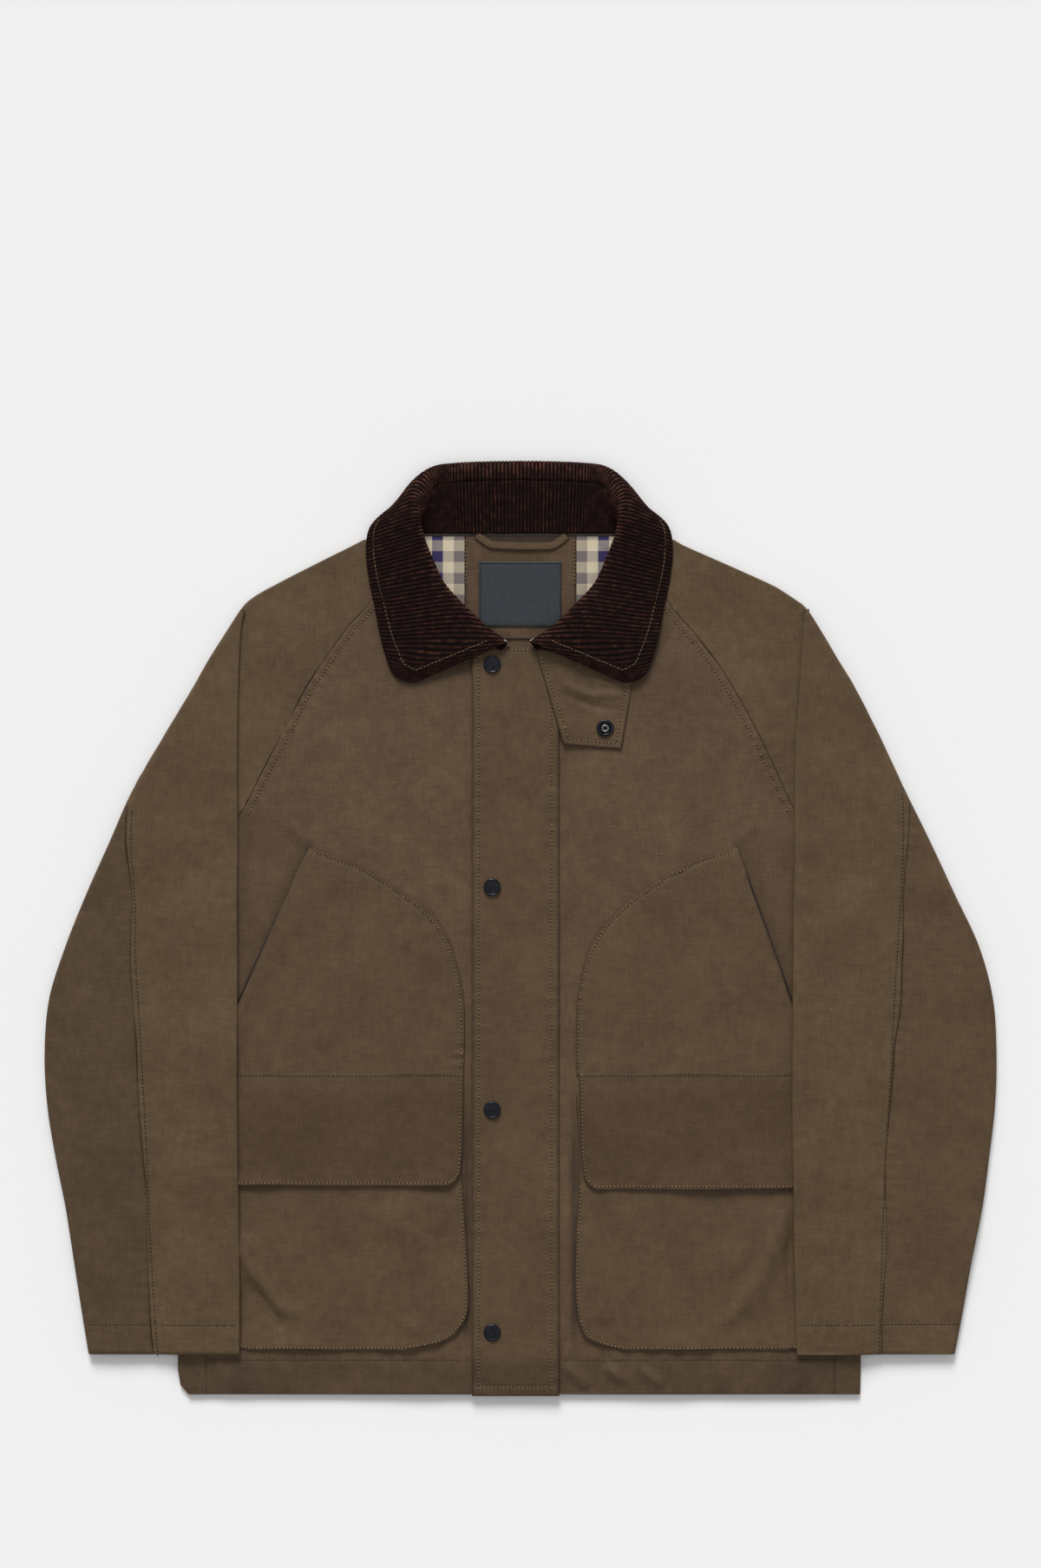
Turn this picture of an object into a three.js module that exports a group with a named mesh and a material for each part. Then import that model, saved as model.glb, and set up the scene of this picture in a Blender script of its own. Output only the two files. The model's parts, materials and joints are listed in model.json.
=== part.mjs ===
// Waxed cotton jacket with a corduroy collar, laid flat on its back.
// Millimetres, +Z up. The origin is on the surface below the middle of the jacket, +Y points to the collar.
import * as THREE from "three";

// Cloth walls and the gaps between them.
const CLOTH = 1.5;
const THIN_CLOTH = 1.0;
const STORM_FLAP_CLOTH = 1.8;
const CORDUROY = 2.0;
const LAYER_GAP = 0.3;
const SEAM_GAP = 0.45;
const LAYER = CLOTH + LAYER_GAP;

// Radius of the middle of a pressed fold, such as the side of the body.
const FOLD_RADIUS = LAYER / 2;
const FOLD_ARC = Math.PI * FOLD_RADIUS;

// Body.
const NECK_SEAM_Y = 341;
const SHOULDER_TOP_Y = 337;
const UNDERARM_Y = 45;
const SHOULDER_POINT_Y = 255;
const HEM_Y = -401;
const CUFF_Y = -366;
const CENTRE_FRONT_X = -5;
const BULGE_HEIGHT = 1.0;
const BULGE_OUTER_X = 272;
const BULGE_INNER_X = 100;

// Storm flap down the front, its studs and the throat tab.
const STORM_FLAP = { left: -42, right: 33.5, top: 244.5, bottom: -402 };
const STUD_RADIUS = 7.5;
const STUD_HEIGHT = 2.4;
const STUD_X = -24.5;
const STUD_PITCH = 192;
const TOP_STUD_Y = 229;
const TAB_CORNERS = { topLeft: [12, 244], topRight: [99, 226], bottomLeft: [37, 160], bottomRight: [87, 156] };
const TAB_STUD = { x: 73, y: 174, hole: 3.2 };

// Corduroy collar.
const WALE_COUNT = 66;
const WALE_HEIGHT = 0.55;
const COLLAR_CENTRE_X = -1;

// Inside the neck.
const FACING_HALF_WIDTH = 48;
const LABEL = { left: -36, right: 35, top: 318, bottom: 262 };
const HANGER_LOOP = { width: 7, thickness: THIN_CLOTH, sag: 11 };

// Pockets.
const POCKET_SEAM_Y = -122.5;
const FLAP_TOP_Y = -123.2;
const FLAP_RISE_END_Y = -139;
const BAG_TOP_Y = -142;
const BAG_PUFF = 1.1;
const BAG_PUFF_REACH = 45;

// Sleeves.
const SLEEVE_INSIDE_GAP = 5.0;
const UNDER_SEAM_REACH = 312;
const BODY_EDGE_RAMP = { from: 317, to: 291 };
const UNDERARM_BLEND = { from: 60, to: 18 };
const WRAP_UNDER = 8;
const SHOULDER_CLEARANCE = 0.2;

// Outline of the whole jacket: how far it reaches to each side.
const OUTLINE = [
  { y: 345, left: 129, right: 126 },
  { y: 337, left: 136, right: 133 },
  { y: 333, left: 143, right: 139 },
  { y: 321, left: 167, right: 166 },
  { y: 309, left: 191, right: 193 },
  { y: 297, left: 214, right: 219 },
  { y: 291, left: 225, right: 229 },
  { y: 285, left: 234, right: 238 },
  { y: 279, left: 240, right: 246 },
  { y: 256, left: 255, right: 261 },
  { y: 234, left: 269, right: 274 },
  { y: 211, left: 282, right: 288 },
  { y: 166, left: 309, right: 311 },
  { y: 121, left: 335, right: 332 },
  { y: 76, left: 355, right: 354 },
  { y: 31, left: 375, right: 375 },
  { y: -14, left: 393, right: 396 },
  { y: -59, left: 407, right: 408 },
  { y: -104, left: 411, right: 411 },
  { y: -149, left: 409, right: 410 },
  { y: -194, left: 402, right: 405 },
  { y: -239, left: 393, right: 399 },
  { y: -284, left: 386, right: 390 },
  { y: -329, left: 379, right: 382 },
  { y: -366, left: 373, right: 375 },
];

// Fold of the sleeve that lies on the body.
const INNER_FOLD = [
  { y: 280, left: 237, right: 246 },
  { y: 262, left: 241, right: 244 },
  { y: 219, left: 243, right: 241 },
  { y: 153, left: 244, right: 237 },
  { y: 67, left: 244, right: 236 },
  { y: -134, left: 244, right: 234 },
  { y: -222, left: 243, right: 235 },
  { y: -293, left: 242, right: 236 },
  { y: -366, left: 242, right: 238 },
];

// Hidden fold between the sleeve and its shoulder stretch, from the shoulder point to the underarm.
const HIDDEN_FOLD = [
  { y: 280, left: 240, right: 249 },
  { y: 219, left: 251, right: 253 },
  { y: 153, left: 264, right: 266 },
  { y: 105, left: 274, right: 275 },
  { y: 42, left: 289, right: 289 },
];

// Raglan seam from the neck to the underarm, the same on the front and on the back.
const RAGLAN = [
  { y: 341, left: 97, right: 95 },
  { y: 310, left: 113, right: 111 },
  { y: 282, left: 130, right: 128 },
  { y: 264, left: 147, right: 143 },
  { y: 239, left: 165, right: 164 },
  { y: 210, left: 185, right: 183 },
  { y: 174, left: 203, right: 203 },
  { y: 141, left: 221, right: 219 },
  { y: 103, left: 240, right: 237 },
  { y: 72, left: 262, right: 258 },
  { y: 42, left: 279, right: 278 },
];

// Outer sleeve seam: its distance along the cloth from the outline, inwards on top, or underneath where negative.
const SLEEVE_SEAM = [
  { y: 280, left: -8, right: -8 },
  { y: 160, left: -7, right: -6 },
  { y: 125, left: -4, right: -3.5 },
  { y: 105, left: 4, right: 5 },
  { y: 75, left: 16, right: 21 },
  { y: 32, left: 40, right: 45 },
  { y: -25, left: 61, right: 71 },
  { y: -63, left: 74, right: 81 },
  { y: -111, left: 81, right: 90 },
  { y: -204, left: 76, right: 90 },
  { y: -276, left: 66, right: 77 },
  { y: -339, left: 59, right: 69 },
  { y: -366, left: 57, right: 64 },
];

// How far the body reaches to each side below the underarm, where the back panel turns round the
// side fold and ends at the side seam on the front.
const BODY_SIDE = [
  { y: 60, left: 296, right: 294 },
  { y: -382, left: 296, right: 294 },
  { y: -392, left: 294, right: 294 },
  { y: -401, left: 287, right: 293.5 },
];
const SIDE_SEAM_X = 272;
// Share of the turned side that is there at each height: it grows from the underarm down.
const SIDE_FLANGE = [
  { y: 42, share: -0.64 },
  { y: 34, share: -0.25 },
  { y: 26, share: 0.06 },
  { y: 18, share: 0.125 },
  { y: 10, share: 1 },
  { y: -401, share: 1 },
];

// Neck edge of the fronts, where the collar stand is sewn on.
const NECK_EDGE = [
  { y: 337, left: 94.5, right: 92.5 },
  { y: 325, left: 94.5, right: 92.5 },
  { y: 306, left: 89, right: 87 },
  { y: 282, left: 78, right: 76 },
  { y: 262, left: 62, right: 60 },
  { y: 250, left: 42, right: 40 },
  { y: 240, left: 16, right: 8 },
];

// Pocket pieces on the wearer's right, which is the left of the view, and on the wearer's left.
// outer is the edge towards the sleeve and inner the edge towards the middle.
const POCKET_UPPER = {
  right: [
    { y: 71, outer: 183, inner: 180 },
    { y: 63, outer: 187, inner: 159 },
    { y: 56, outer: 191, inner: 141 },
    { y: 39, outer: 198, inner: 111 },
    { y: 17, outer: 208, inner: 79 },
    { y: -8, outer: 219, inner: 62 },
    { y: -33, outer: 230, inner: 54 },
    { y: -60, outer: 242, inner: 49 },
    { y: -92, outer: 256, inner: 48 },
    { y: -122, outer: 264, inner: 49 },
  ],
  left: [
    { y: 71, outer: 188, inner: 184 },
    { y: 63, outer: 190, inner: 159 },
    { y: 56, outer: 193, inner: 142 },
    { y: 39, outer: 198, inner: 113 },
    { y: 17, outer: 206, inner: 84 },
    { y: -8, outer: 215, inner: 63 },
    { y: -33, outer: 224, inner: 54 },
    { y: -60, outer: 233, inner: 49 },
    { y: -92, outer: 247, inner: 48 },
    { y: -122, outer: 258, inner: 48 },
  ],
};
const POCKET_FLAP = {
  right: [
    { y: -123, outer: 264, inner: 49 },
    { y: -185, outer: 264, inner: 50 },
    { y: -205, outer: 264, inner: 51 },
    { y: -214, outer: 262, inner: 56 },
    { y: -220, outer: 252, inner: 68 },
  ],
  left: [
    { y: -123, outer: 257, inner: 50.5 },
    { y: -190, outer: 257, inner: 52 },
    { y: -208, outer: 257, inner: 54 },
    { y: -217, outer: 254, inner: 62 },
    { y: -222, outer: 244, inner: 76 },
  ],
};
const POCKET_BAG = {
  right: [
    { y: -142, outer: 264, inner: 51 },
    { y: -213, outer: 264, inner: 50 },
    { y: -282, outer: 264, inner: 46 },
    { y: -328, outer: 264, inner: 45 },
    { y: -342, outer: 264, inner: 51 },
    { y: -354, outer: 258, inner: 65 },
    { y: -362, outer: 236, inner: 100 },
  ],
  left: [
    { y: -142, outer: 257, inner: 48 },
    { y: -209, outer: 257, inner: 50 },
    { y: -287, outer: 257, inner: 47 },
    { y: -324, outer: 257, inner: 48 },
    { y: -345, outer: 257, inner: 53 },
    { y: -356, outer: 252, inner: 64 },
    { y: -362, outer: 230, inner: 88 },
  ],
};

// How high the under layer of a sleeve lies over the pocket on the body.
const SLEEVE_LIFT = [
  { y: 60, lift: 5.2 },
  { y: 0, lift: 5.6 },
  { y: -60, lift: 6.0 },
  { y: -110, lift: 7.4 },
  { y: -135, lift: 8.0 },
  { y: -210, lift: 8.0 },
  { y: -245, lift: 6.8 },
  { y: -366, lift: 6.4 },
];

// Half of the collar, from the front end to the middle of the back, mirrored for the other half. Each
// row is a line across the collar: neck edge n, roll line r, outer edge e, and the direction t in
// which the cloth passes over the roll.
const COLLAR = [
  { at: 0.0, nx: 15, ny: 241, nz: 8.9, rx: 9, ry: 248.5, rz: 9.4, tx: 0, ty: 0, tz: 20, ex: 107, ey: 216, ez: 6.6 },
  { at: 0.6, nx: 34, ny: 251, nz: 7.9, rx: 27, ry: 260, rz: 9.2, tx: 0, ty: 0, tz: 20, ex: 115, ey: 232, ez: 6.6 },
  { at: 1.4, nx: 60, ny: 263, nz: 2.9, rx: 48, ry: 280, rz: 8.6, tx: 0, ty: 0, tz: 22, ex: 120, ey: 253, ez: 6.5 },
  { at: 2.3, nx: 76, ny: 282, nz: 2.9, rx: 65, ry: 299, rz: 8.6, tx: 0, ty: 0, tz: 22, ex: 125, ey: 279, ez: 6.4 },
  { at: 3.1, nx: 87, ny: 306, nz: 2.9, rx: 75, ry: 320, rz: 9.6, tx: 0, ty: 0, tz: 22, ex: 130, ey: 303, ez: 6.4 },
  { at: 4.0, nx: 92, ny: 328, nz: 2.9, rx: 83, ry: 341, rz: 12.0, tx: -3, ty: 3, tz: 18, ex: 132.5, ey: 328, ez: 6.6 },
  { at: 4.8, nx: 90, ny: 340.5, nz: 3.0, rx: 86, ry: 360, rz: 14.5, tx: 12, ty: 10, tz: 9, ex: 128, ey: 347.5, ez: 5.2 },
  { at: 5.5, nx: 82, ny: 341.6, nz: 3.6, rx: 85, ry: 378, rz: 12.0, tx: 16, ty: 20, tz: -6, ex: 110, ey: 352, ez: 2.0 },
  { at: 6.2, nx: 72, ny: 341.6, nz: 3.8, rx: 77, ry: 397, rz: 7.4, tx: 6, ty: 10, tz: -22, ex: 88, ey: 352, ez: 1.6 },
  { at: 7.1, nx: 55, ny: 341.6, nz: 3.8, rx: 57, ry: 402.3, rz: 5.6, tx: 0, ty: 0, tz: -24, ex: 60, ey: 352, ez: 1.6 },
  { at: 9.0, nx: 0, ny: 341.6, nz: 3.8, rx: 0, ry: 404, rz: 5.6, tx: 0, ty: 0, tz: -24, ex: 0, ey: 352, ez: 1.6 },
];
const COLLAR_END = 9.0;
const COLLAR_LOWEST = CORDUROY / 2 + WALE_HEIGHT;

// The seam between stand and fall: 0 is the neck edge, 1 the roll line and 2 the outer edge.
const STAND_SEAM = [
  { at: 0.0, seam: 1.22 },
  { at: 1.0, seam: 1.1 },
  { at: 2.0, seam: 0.95 },
  { at: 4.0, seam: 0.75 },
  { at: 6.2, seam: 0.6 },
  { at: 9.0, seam: 0.6 },
];

// The tab lies under the leaf on the wearer's left and lifts its front.
const TAB_LIFT = [
  { at: 0.0, lift: 2.6 },
  { at: 1.4, lift: 2.2 },
  { at: 2.3, lift: 0.5 },
  { at: 3.1, lift: 0 },
  { at: 9.0, lift: 0 },
];

// Rows at which the body and the sleeves are sampled, closer together where the outline turns.
const SHOULDER_ROWS = [325, 305, 290, 276, 262, 255, 225, 190, 155, 125, 110, 97, 80, 62, 50];
const BODY_ROWS = [...SHOULDER_ROWS, 42, 34, 26, 18, 10, -150, -300, -380];
const SLEEVE_ROWS = [...SHOULDER_ROWS, 42, 30, 18, -20, -59, -104, -150, -210, -250, -310];

const COLOURS = {
  waxed: 0x54483b,
  waxedDark: 0x4a3e33,
  corduroy: 0x3a2018,
  lining: 0xb9ac96,
  facing: 0x4a3a30,
  label: 0x38434c,
  gunmetal: 0x2c2d36,
};

const cloth = (colour) => new THREE.MeshStandardMaterial({ color: colour, roughness: 0.72, metalness: 0 });
const metal = () => new THREE.MeshStandardMaterial({ color: COLOURS.gunmetal, roughness: 0.35, metalness: 0.9 });

// Value of a table's column, passing smoothly through its rows.
function along(table, key, column, at) {
  const rising = table[0][key] < table[table.length - 1][key];
  const rows = rising ? table : [...table].reverse();
  const last = rows.length - 1;
  if (at <= rows[0][key]) {
    return rows[0][column];
  }
  if (at >= rows[last][key]) {
    return rows[last][column];
  }
  let low = 0;
  while (rows[low + 1][key] < at) {
    low += 1;
  }
  const slope = (i) => {
    const before = rows[Math.max(i - 1, 0)];
    const after = rows[Math.min(i + 1, last)];
    return (after[column] - before[column]) / (after[key] - before[key]);
  };
  const width = rows[low + 1][key] - rows[low][key];
  const t = (at - rows[low][key]) / width;
  const start = (2 * t ** 3 - 3 * t ** 2 + 1) * rows[low][column];
  const end = (3 * t ** 2 - 2 * t ** 3) * rows[low + 1][column];
  const leave = (t ** 3 - 2 * t ** 2 + t) * width * slope(low);
  const arrive = (t ** 3 - t ** 2) * width * slope(low + 1);
  return start + end + leave + arrive;
}

// The raglan seam as straight stretches between the shoulder rows, so both sides of it agree.
function raglanAt(column, y) {
  const smooth = (at) => along(RAGLAN, "y", column, at);
  const above = [NECK_SEAM_Y, SHOULDER_TOP_Y, ...SHOULDER_ROWS, UNDERARM_Y].filter((row) => row > y).pop();
  const below = [NECK_SEAM_Y, SHOULDER_TOP_Y, ...SHOULDER_ROWS, UNDERARM_Y].find((row) => row <= y);
  if (above === undefined || below === undefined) {
    return smooth(y);
  }
  return smooth(above) + ((smooth(below) - smooth(above)) * (above - y)) / (above - below);
}

const lerp = (a, b, t) => a + (b - a) * t;
const mix = (a, b, t) => a.map((value, i) => lerp(value, b[i], t));

function smoothstep(from, to, value) {
  const t = Math.min(Math.max((value - from) / (to - from), 0), 1);
  return t * t * (3 - 2 * t);
}

function rowsBetween(heights, top, bottom) {
  const closest = 3;
  const inside = heights.filter((y) => y < top - closest && y > bottom + closest);
  return [top, ...inside, bottom];
}

function evenly(from, to, steps) {
  return Array.from({ length: steps + 1 }, (unused, i) => lerp(from, to, i / steps));
}

// Closed solid between two grids of points of the same size.
function solidBetween(outer, inner) {
  const rows = outer.length;
  const columns = outer[0].length;
  const points = [...outer.flat(), ...inner.flat()];
  const shift = rows * columns;
  const top = (i, j) => i * columns + j;
  const under = (i, j) => shift + i * columns + j;
  const faces = [];
  const quad = (a, b, c, d) => faces.push(a, b, c, a, c, d);
  const length = (a, b) => Math.hypot(...points[a].map((value, k) => value - points[b][k]));
  for (let i = 0; i < rows - 1; i += 1) {
    for (let j = 0; j < columns - 1; j += 1) {
      if (length(top(i, j), top(i + 1, j + 1)) <= length(top(i + 1, j), top(i, j + 1))) {
        quad(top(i, j), top(i + 1, j), top(i + 1, j + 1), top(i, j + 1));
        quad(under(i, j), under(i, j + 1), under(i + 1, j + 1), under(i + 1, j));
      } else {
        quad(top(i + 1, j), top(i + 1, j + 1), top(i, j + 1), top(i, j));
        quad(under(i, j + 1), under(i + 1, j + 1), under(i + 1, j), under(i, j));
      }
    }
  }
  for (let i = 0; i < rows - 1; i += 1) {
    quad(top(i, 0), under(i, 0), under(i + 1, 0), top(i + 1, 0));
    quad(top(i, columns - 1), top(i + 1, columns - 1), under(i + 1, columns - 1), under(i, columns - 1));
  }
  for (let j = 0; j < columns - 1; j += 1) {
    quad(top(0, j), top(0, j + 1), under(0, j + 1), under(0, j));
    quad(top(rows - 1, j), under(rows - 1, j), under(rows - 1, j + 1), top(rows - 1, j + 1));
  }
  let volume = 0;
  for (let f = 0; f < faces.length; f += 3) {
    const [a, b, c] = [points[faces[f]], points[faces[f + 1]], points[faces[f + 2]]];
    volume += a[0] * (b[1] * c[2] - b[2] * c[1]);
    volume += a[1] * (b[2] * c[0] - b[0] * c[2]);
    volume += a[2] * (b[0] * c[1] - b[1] * c[0]);
  }
  if (volume < 0) {
    faces.reverse();
  }
  const geometry = new THREE.BufferGeometry();
  geometry.setAttribute("position", new THREE.Float32BufferAttribute(points.flat(), 3));
  geometry.setIndex(faces);
  geometry.computeVertexNormals();
  return geometry;
}

const jacket = new THREE.Group();

function addPiece(name, geometry, material) {
  const piece = new THREE.Mesh(geometry, material);
  piece.name = name;
  jacket.add(piece);
  return piece;
}

// Panel that lies flat: rows across it from left to right, over the height that under gives.
function flatPanel(name, colour, { rows, columns, left, right, under, wall = CLOTH }) {
  const low = rows.map((y) => evenly(left(y), right(y), columns).map((x) => [x, y, under(x, y)]));
  const high = low.map((row) => row.map(([x, y, z]) => [x, y, z + wall]));
  addPiece(name, solidBetween(high, low), cloth(colour));
}

// Wall of even thickness about a section, which gives rows of points with their normals.
function foldedWall(name, colour, rows, wall = CLOTH) {
  const move = (side) => rows.map((row) => row.map(({ p, n }) => p.map((v, i) => v + (n[i] * wall * side) / 2)));
  addPiece(name, solidBetween(move(1), move(-1)), cloth(colour));
}

// Height of the underside of the fronts. They lie on the back and bulge a little over the middle.
function frontUnder(x) {
  const bulge = BULGE_HEIGHT * (1 - smoothstep(BULGE_INNER_X, BULGE_OUTER_X, Math.abs(x)));
  return LAYER + bulge;
}

const onFront = (x) => frontUnder(x) + LAYER;
const side = (sign) => (sign < 0 ? "left" : "right");

// Back panel, turned round each side fold to the side seam.
function backPanel() {
  const flatColumns = 4;
  const reach = (y, sign) => {
    const column = side(sign);
    const fold = along(BODY_SIDE, "y", column, y) - FOLD_RADIUS - CLOTH / 2;
    const share = Math.min(along(SIDE_FLANGE, "y", "share", y), 1);
    const flange = share * (FOLD_ARC + fold - SIDE_SEAM_X);
    const edge = y > SIDE_FLANGE[0].y ? raglanAt(column, y) : fold + flange;
    return { fold, edge };
  };
  const halfRow = (y, sign) => {
    const { fold, edge } = reach(y, sign);
    const wraps = edge > fold;
    const flatEnd = wraps ? fold : edge - 6;
    const turned = wraps ? Math.min(FOLD_ARC, 0.8 * (edge - fold)) : 0.7 * (edge - flatEnd);
    const turn = [0.25, 0.5, 0.75, 1].map((part) => flatEnd + part * turned);
    const last = [lerp(turn[3], edge, 0.5), edge];
    const flat = evenly(0, flatEnd, flatColumns).slice(1);
    return [...flat, ...turn, ...last].map((s) => {
      if (s <= fold) {
        return { p: [sign * s, y, CLOTH / 2], n: [0, 0, -1] };
      }
      const angle = Math.min((s - fold) / FOLD_RADIUS, Math.PI);
      const beyond = Math.max(s - fold - FOLD_ARC, 0);
      const x = fold + FOLD_RADIUS * Math.sin(angle) - beyond;
      const z = CLOTH / 2 + FOLD_RADIUS * (1 - Math.cos(angle));
      return { p: [sign * x, y, z], n: [sign * Math.sin(angle), 0, -Math.cos(angle)] };
    });
  };
  const rows = rowsBetween(BODY_ROWS, NECK_SEAM_Y, HEM_Y).map((y) => {
    const middle = { p: [0, y, CLOTH / 2], n: [0, 0, -1] };
    return [...halfRow(y, -1).reverse(), middle, ...halfRow(y, 1)];
  });
  foldedWall("back", COLOURS.waxed, rows);
}

// Front panel, from the raglan and side seams to the neck edge and the middle of the front.
function frontPanel(name, sign) {
  const column = side(sign);
  const outer = (y) => {
    const underarm = 42;
    const raglan = raglanAt(column, Math.max(y, underarm)) - SEAM_GAP;
    const seam = SIDE_SEAM_X - SEAM_GAP;
    return sign * lerp(seam, raglan, smoothstep(14, underarm, y));
  };
  const neckBottom = NECK_EDGE[NECK_EDGE.length - 1].y;
  const standRoom = 1.9;
  const inner = (y) => {
    const middle = CENTRE_FRONT_X + (sign * LAYER_GAP) / 2;
    return y > neckBottom ? sign * (along(NECK_EDGE, "y", column, y) + standRoom) : middle;
  };
  const neckRows = [SHOULDER_TOP_Y - 2, 325, 305, 290, 276, 262, 255, 247, 241];
  const bodyRows = rowsBetween(BODY_ROWS, 238, HEM_Y);
  const rows = [...neckRows, ...bodyRows];
  const [left, right] = sign < 0 ? [outer, inner] : [inner, outer];
  flatPanel(name, COLOURS.waxed, { rows, columns: 6, left, right, under: frontUnder });
}

// Sleeve: the height of the under layer, and of the top layer above it.
function sleeveUnder(x, y) {
  const onto = smoothstep(BODY_EDGE_RAMP.from, BODY_EDGE_RAMP.to, Math.abs(x));
  const onBody = along(SLEEVE_LIFT, "y", "lift", y) * onto;
  const onShoulder = 2 * LAYER + SHOULDER_CLEARANCE;
  return lerp(onBody, onShoulder, smoothstep(UNDERARM_BLEND.to, UNDERARM_BLEND.from, y)) + CLOTH / 2;
}

function sleeveTop(x, y) {
  const lift = along(SLEEVE_LIFT, "y", "lift", y);
  const share = Math.min((sleeveUnder(x, y) - CLOTH / 2) / lift, 1);
  const below = sleeveUnder(x, y) + lerp(SLEEVE_INSIDE_GAP, LAYER, share);
  const above = 3 * LAYER + SHOULDER_CLEARANCE + CLOTH / 2;
  return lerp(below, above, smoothstep(UNDERARM_BLEND.to, UNDERARM_BLEND.from, y));
}

// The line across a sleeve from its end on the floor, round the outline, over the top, round the inner
// fold and back underneath. Distances are along the cloth from the outline, inwards on top.
function sleeveSection(y, sign) {
  const column = side(sign);
  const outline = along(OUTLINE, "y", column, y);
  const innerFold = along(INNER_FOLD, "y", column, y);
  const turn = (sleeveTop(outline - 4, y) - CLOTH / 2) / 2;
  const turnX = outline - CLOTH / 2 - turn;
  const halfArc = (Math.PI * turn) / 2;
  const foldX = innerFold + CLOTH / 2 + FOLD_RADIUS;
  const topLength = turnX - foldX;
  const point = (x, z, nx, nz) => ({ p: [sign * x, y, z], n: [sign * nx, 0, nz] });
  const topSlope = (x, height) => {
    const step = 2;
    const slope = (height(x + step, y) - height(x - step, y)) / (2 * step);
    const size = Math.hypot(1, slope);
    return [-slope / size, 1 / size];
  };
  return {
    halfArc,
    topLength,
    foldX,
    turnX,
    at(s) {
      if (s < -halfArc) {
        return point(turnX + s + halfArc, CLOTH / 2, 0, -1);
      }
      if (s <= halfArc) {
        const angle = s / turn;
        const z = CLOTH / 2 + turn * (1 + Math.sin(angle));
        return point(turnX + turn * Math.cos(angle), z, Math.cos(angle), Math.sin(angle));
      }
      if (s <= halfArc + topLength) {
        const x = turnX - (s - halfArc);
        const [nx, nz] = topSlope(x, sleeveTop);
        return point(x, sleeveTop(x, y), nx, nz);
      }
      const past = s - halfArc - topLength;
      const high = sleeveTop(foldX, y);
      const low = sleeveUnder(foldX, y);
      const radius = (high - low) / 2;
      const arc = Math.PI * radius;
      if (past <= arc) {
        const angle = past / radius;
        const z = (high + low) / 2 + radius * Math.cos(angle);
        return point(foldX - radius * Math.sin(angle), z, -Math.sin(angle), Math.cos(angle));
      }
      const x = foldX + (past - arc);
      const [nx, nz] = topSlope(x, sleeveUnder);
      return point(x, sleeveUnder(x, y), -nx, -nz);
    },
    foldArc: (Math.PI * (sleeveTop(foldX, y) - sleeveUnder(foldX, y))) / 2,
  };
}

const sleeveRows = (top) => rowsBetween(SLEEVE_ROWS, top, CUFF_Y);

// Front of the sleeve: over the top, round the inner fold and back to the hidden fold or under seam.
function sleeveFront(name, sign) {
  const column = side(sign);
  const rows = sleeveRows(SHOULDER_POINT_Y - 0.5).map((y) => {
    const section = sleeveSection(y, sign);
    const seam = along(SLEEVE_SEAM, "y", column, y);
    const hidden = along(HIDDEN_FOLD, "y", column, y);
    const end = lerp(UNDER_SEAM_REACH, hidden, smoothstep(UNDERARM_BLEND.to, UNDERARM_BLEND.from, y));
    const top = section.halfArc + section.topLength;
    const underLength = Math.max(end - section.foldX, 2);
    const under = top + section.foldArc;
    const underSteps = evenly(0, underLength, 4).slice(1);
    const arcStart = Math.max(seam + 1.2, -section.halfArc);
    const arcEnd = Math.max(arcStart + 1.2, section.halfArc);
    const arcSteps = evenly(arcStart, arcEnd, 3);
    const topSteps = [...underSteps].reverse().map((step) => Math.max(top - step, arcEnd + 0.6));
    const foldSteps = evenly(top, under, 3).slice(1);
    const backSteps = underSteps.map((step) => under + step);
    return [seam, ...arcSteps, ...topSteps, top, ...foldSteps, ...backSteps].map((s) => section.at(s));
  });
  foldedWall(name, COLOURS.waxed, rows);
}

// Back of the sleeve: from the outer seam round the outline and along the floor.
function sleeveBack(name, sign) {
  const column = side(sign);
  const rows = sleeveRows(SHOULDER_TOP_Y).map((y) => {
    const seam = along(SLEEVE_SEAM, "y", column, y) - 4 * LAYER_GAP;
    const raglan = raglanAt(column, y) + SEAM_GAP;
    const end = lerp(UNDER_SEAM_REACH + 1.5, raglan, smoothstep(30, UNDERARM_Y + 1, y));
    if (y > SHOULDER_POINT_Y) {
      const outline = along(OUTLINE, "y", column, y) - wrapUnder(y) - LAYER - LAYER_GAP;
      return evenly(outline, end, 9).map((x) => ({ p: [sign * x, y, CLOTH / 2], n: [0, 0, -1] }));
    }
    const section = sleeveSection(y, sign);
    const arcStart = Math.min(seam - 1.2, section.halfArc);
    const arcEnd = Math.min(arcStart - 1.2, -section.halfArc);
    const floorEnd = end - section.turnX - section.halfArc;
    const top = evenly(seam, arcStart, 2);
    const arc = evenly(arcStart, arcEnd, 4).slice(1);
    const floor = evenly(arcEnd, floorEnd, 3).slice(1);
    return [...top, ...arc, ...floor].map((s) => section.at(s));
  });
  foldedWall(name, COLOURS.waxed, rows);
}

// How far the shoulder stretch goes underneath, and how much of the half turn round the outline it
// makes: both end towards the shoulder point.
const wrapUnder = (y) => WRAP_UNDER * smoothstep(276, 290, y);
const turnStart = (y) => lerp(0.5, 0, smoothstep(262, 276, y));

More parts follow.
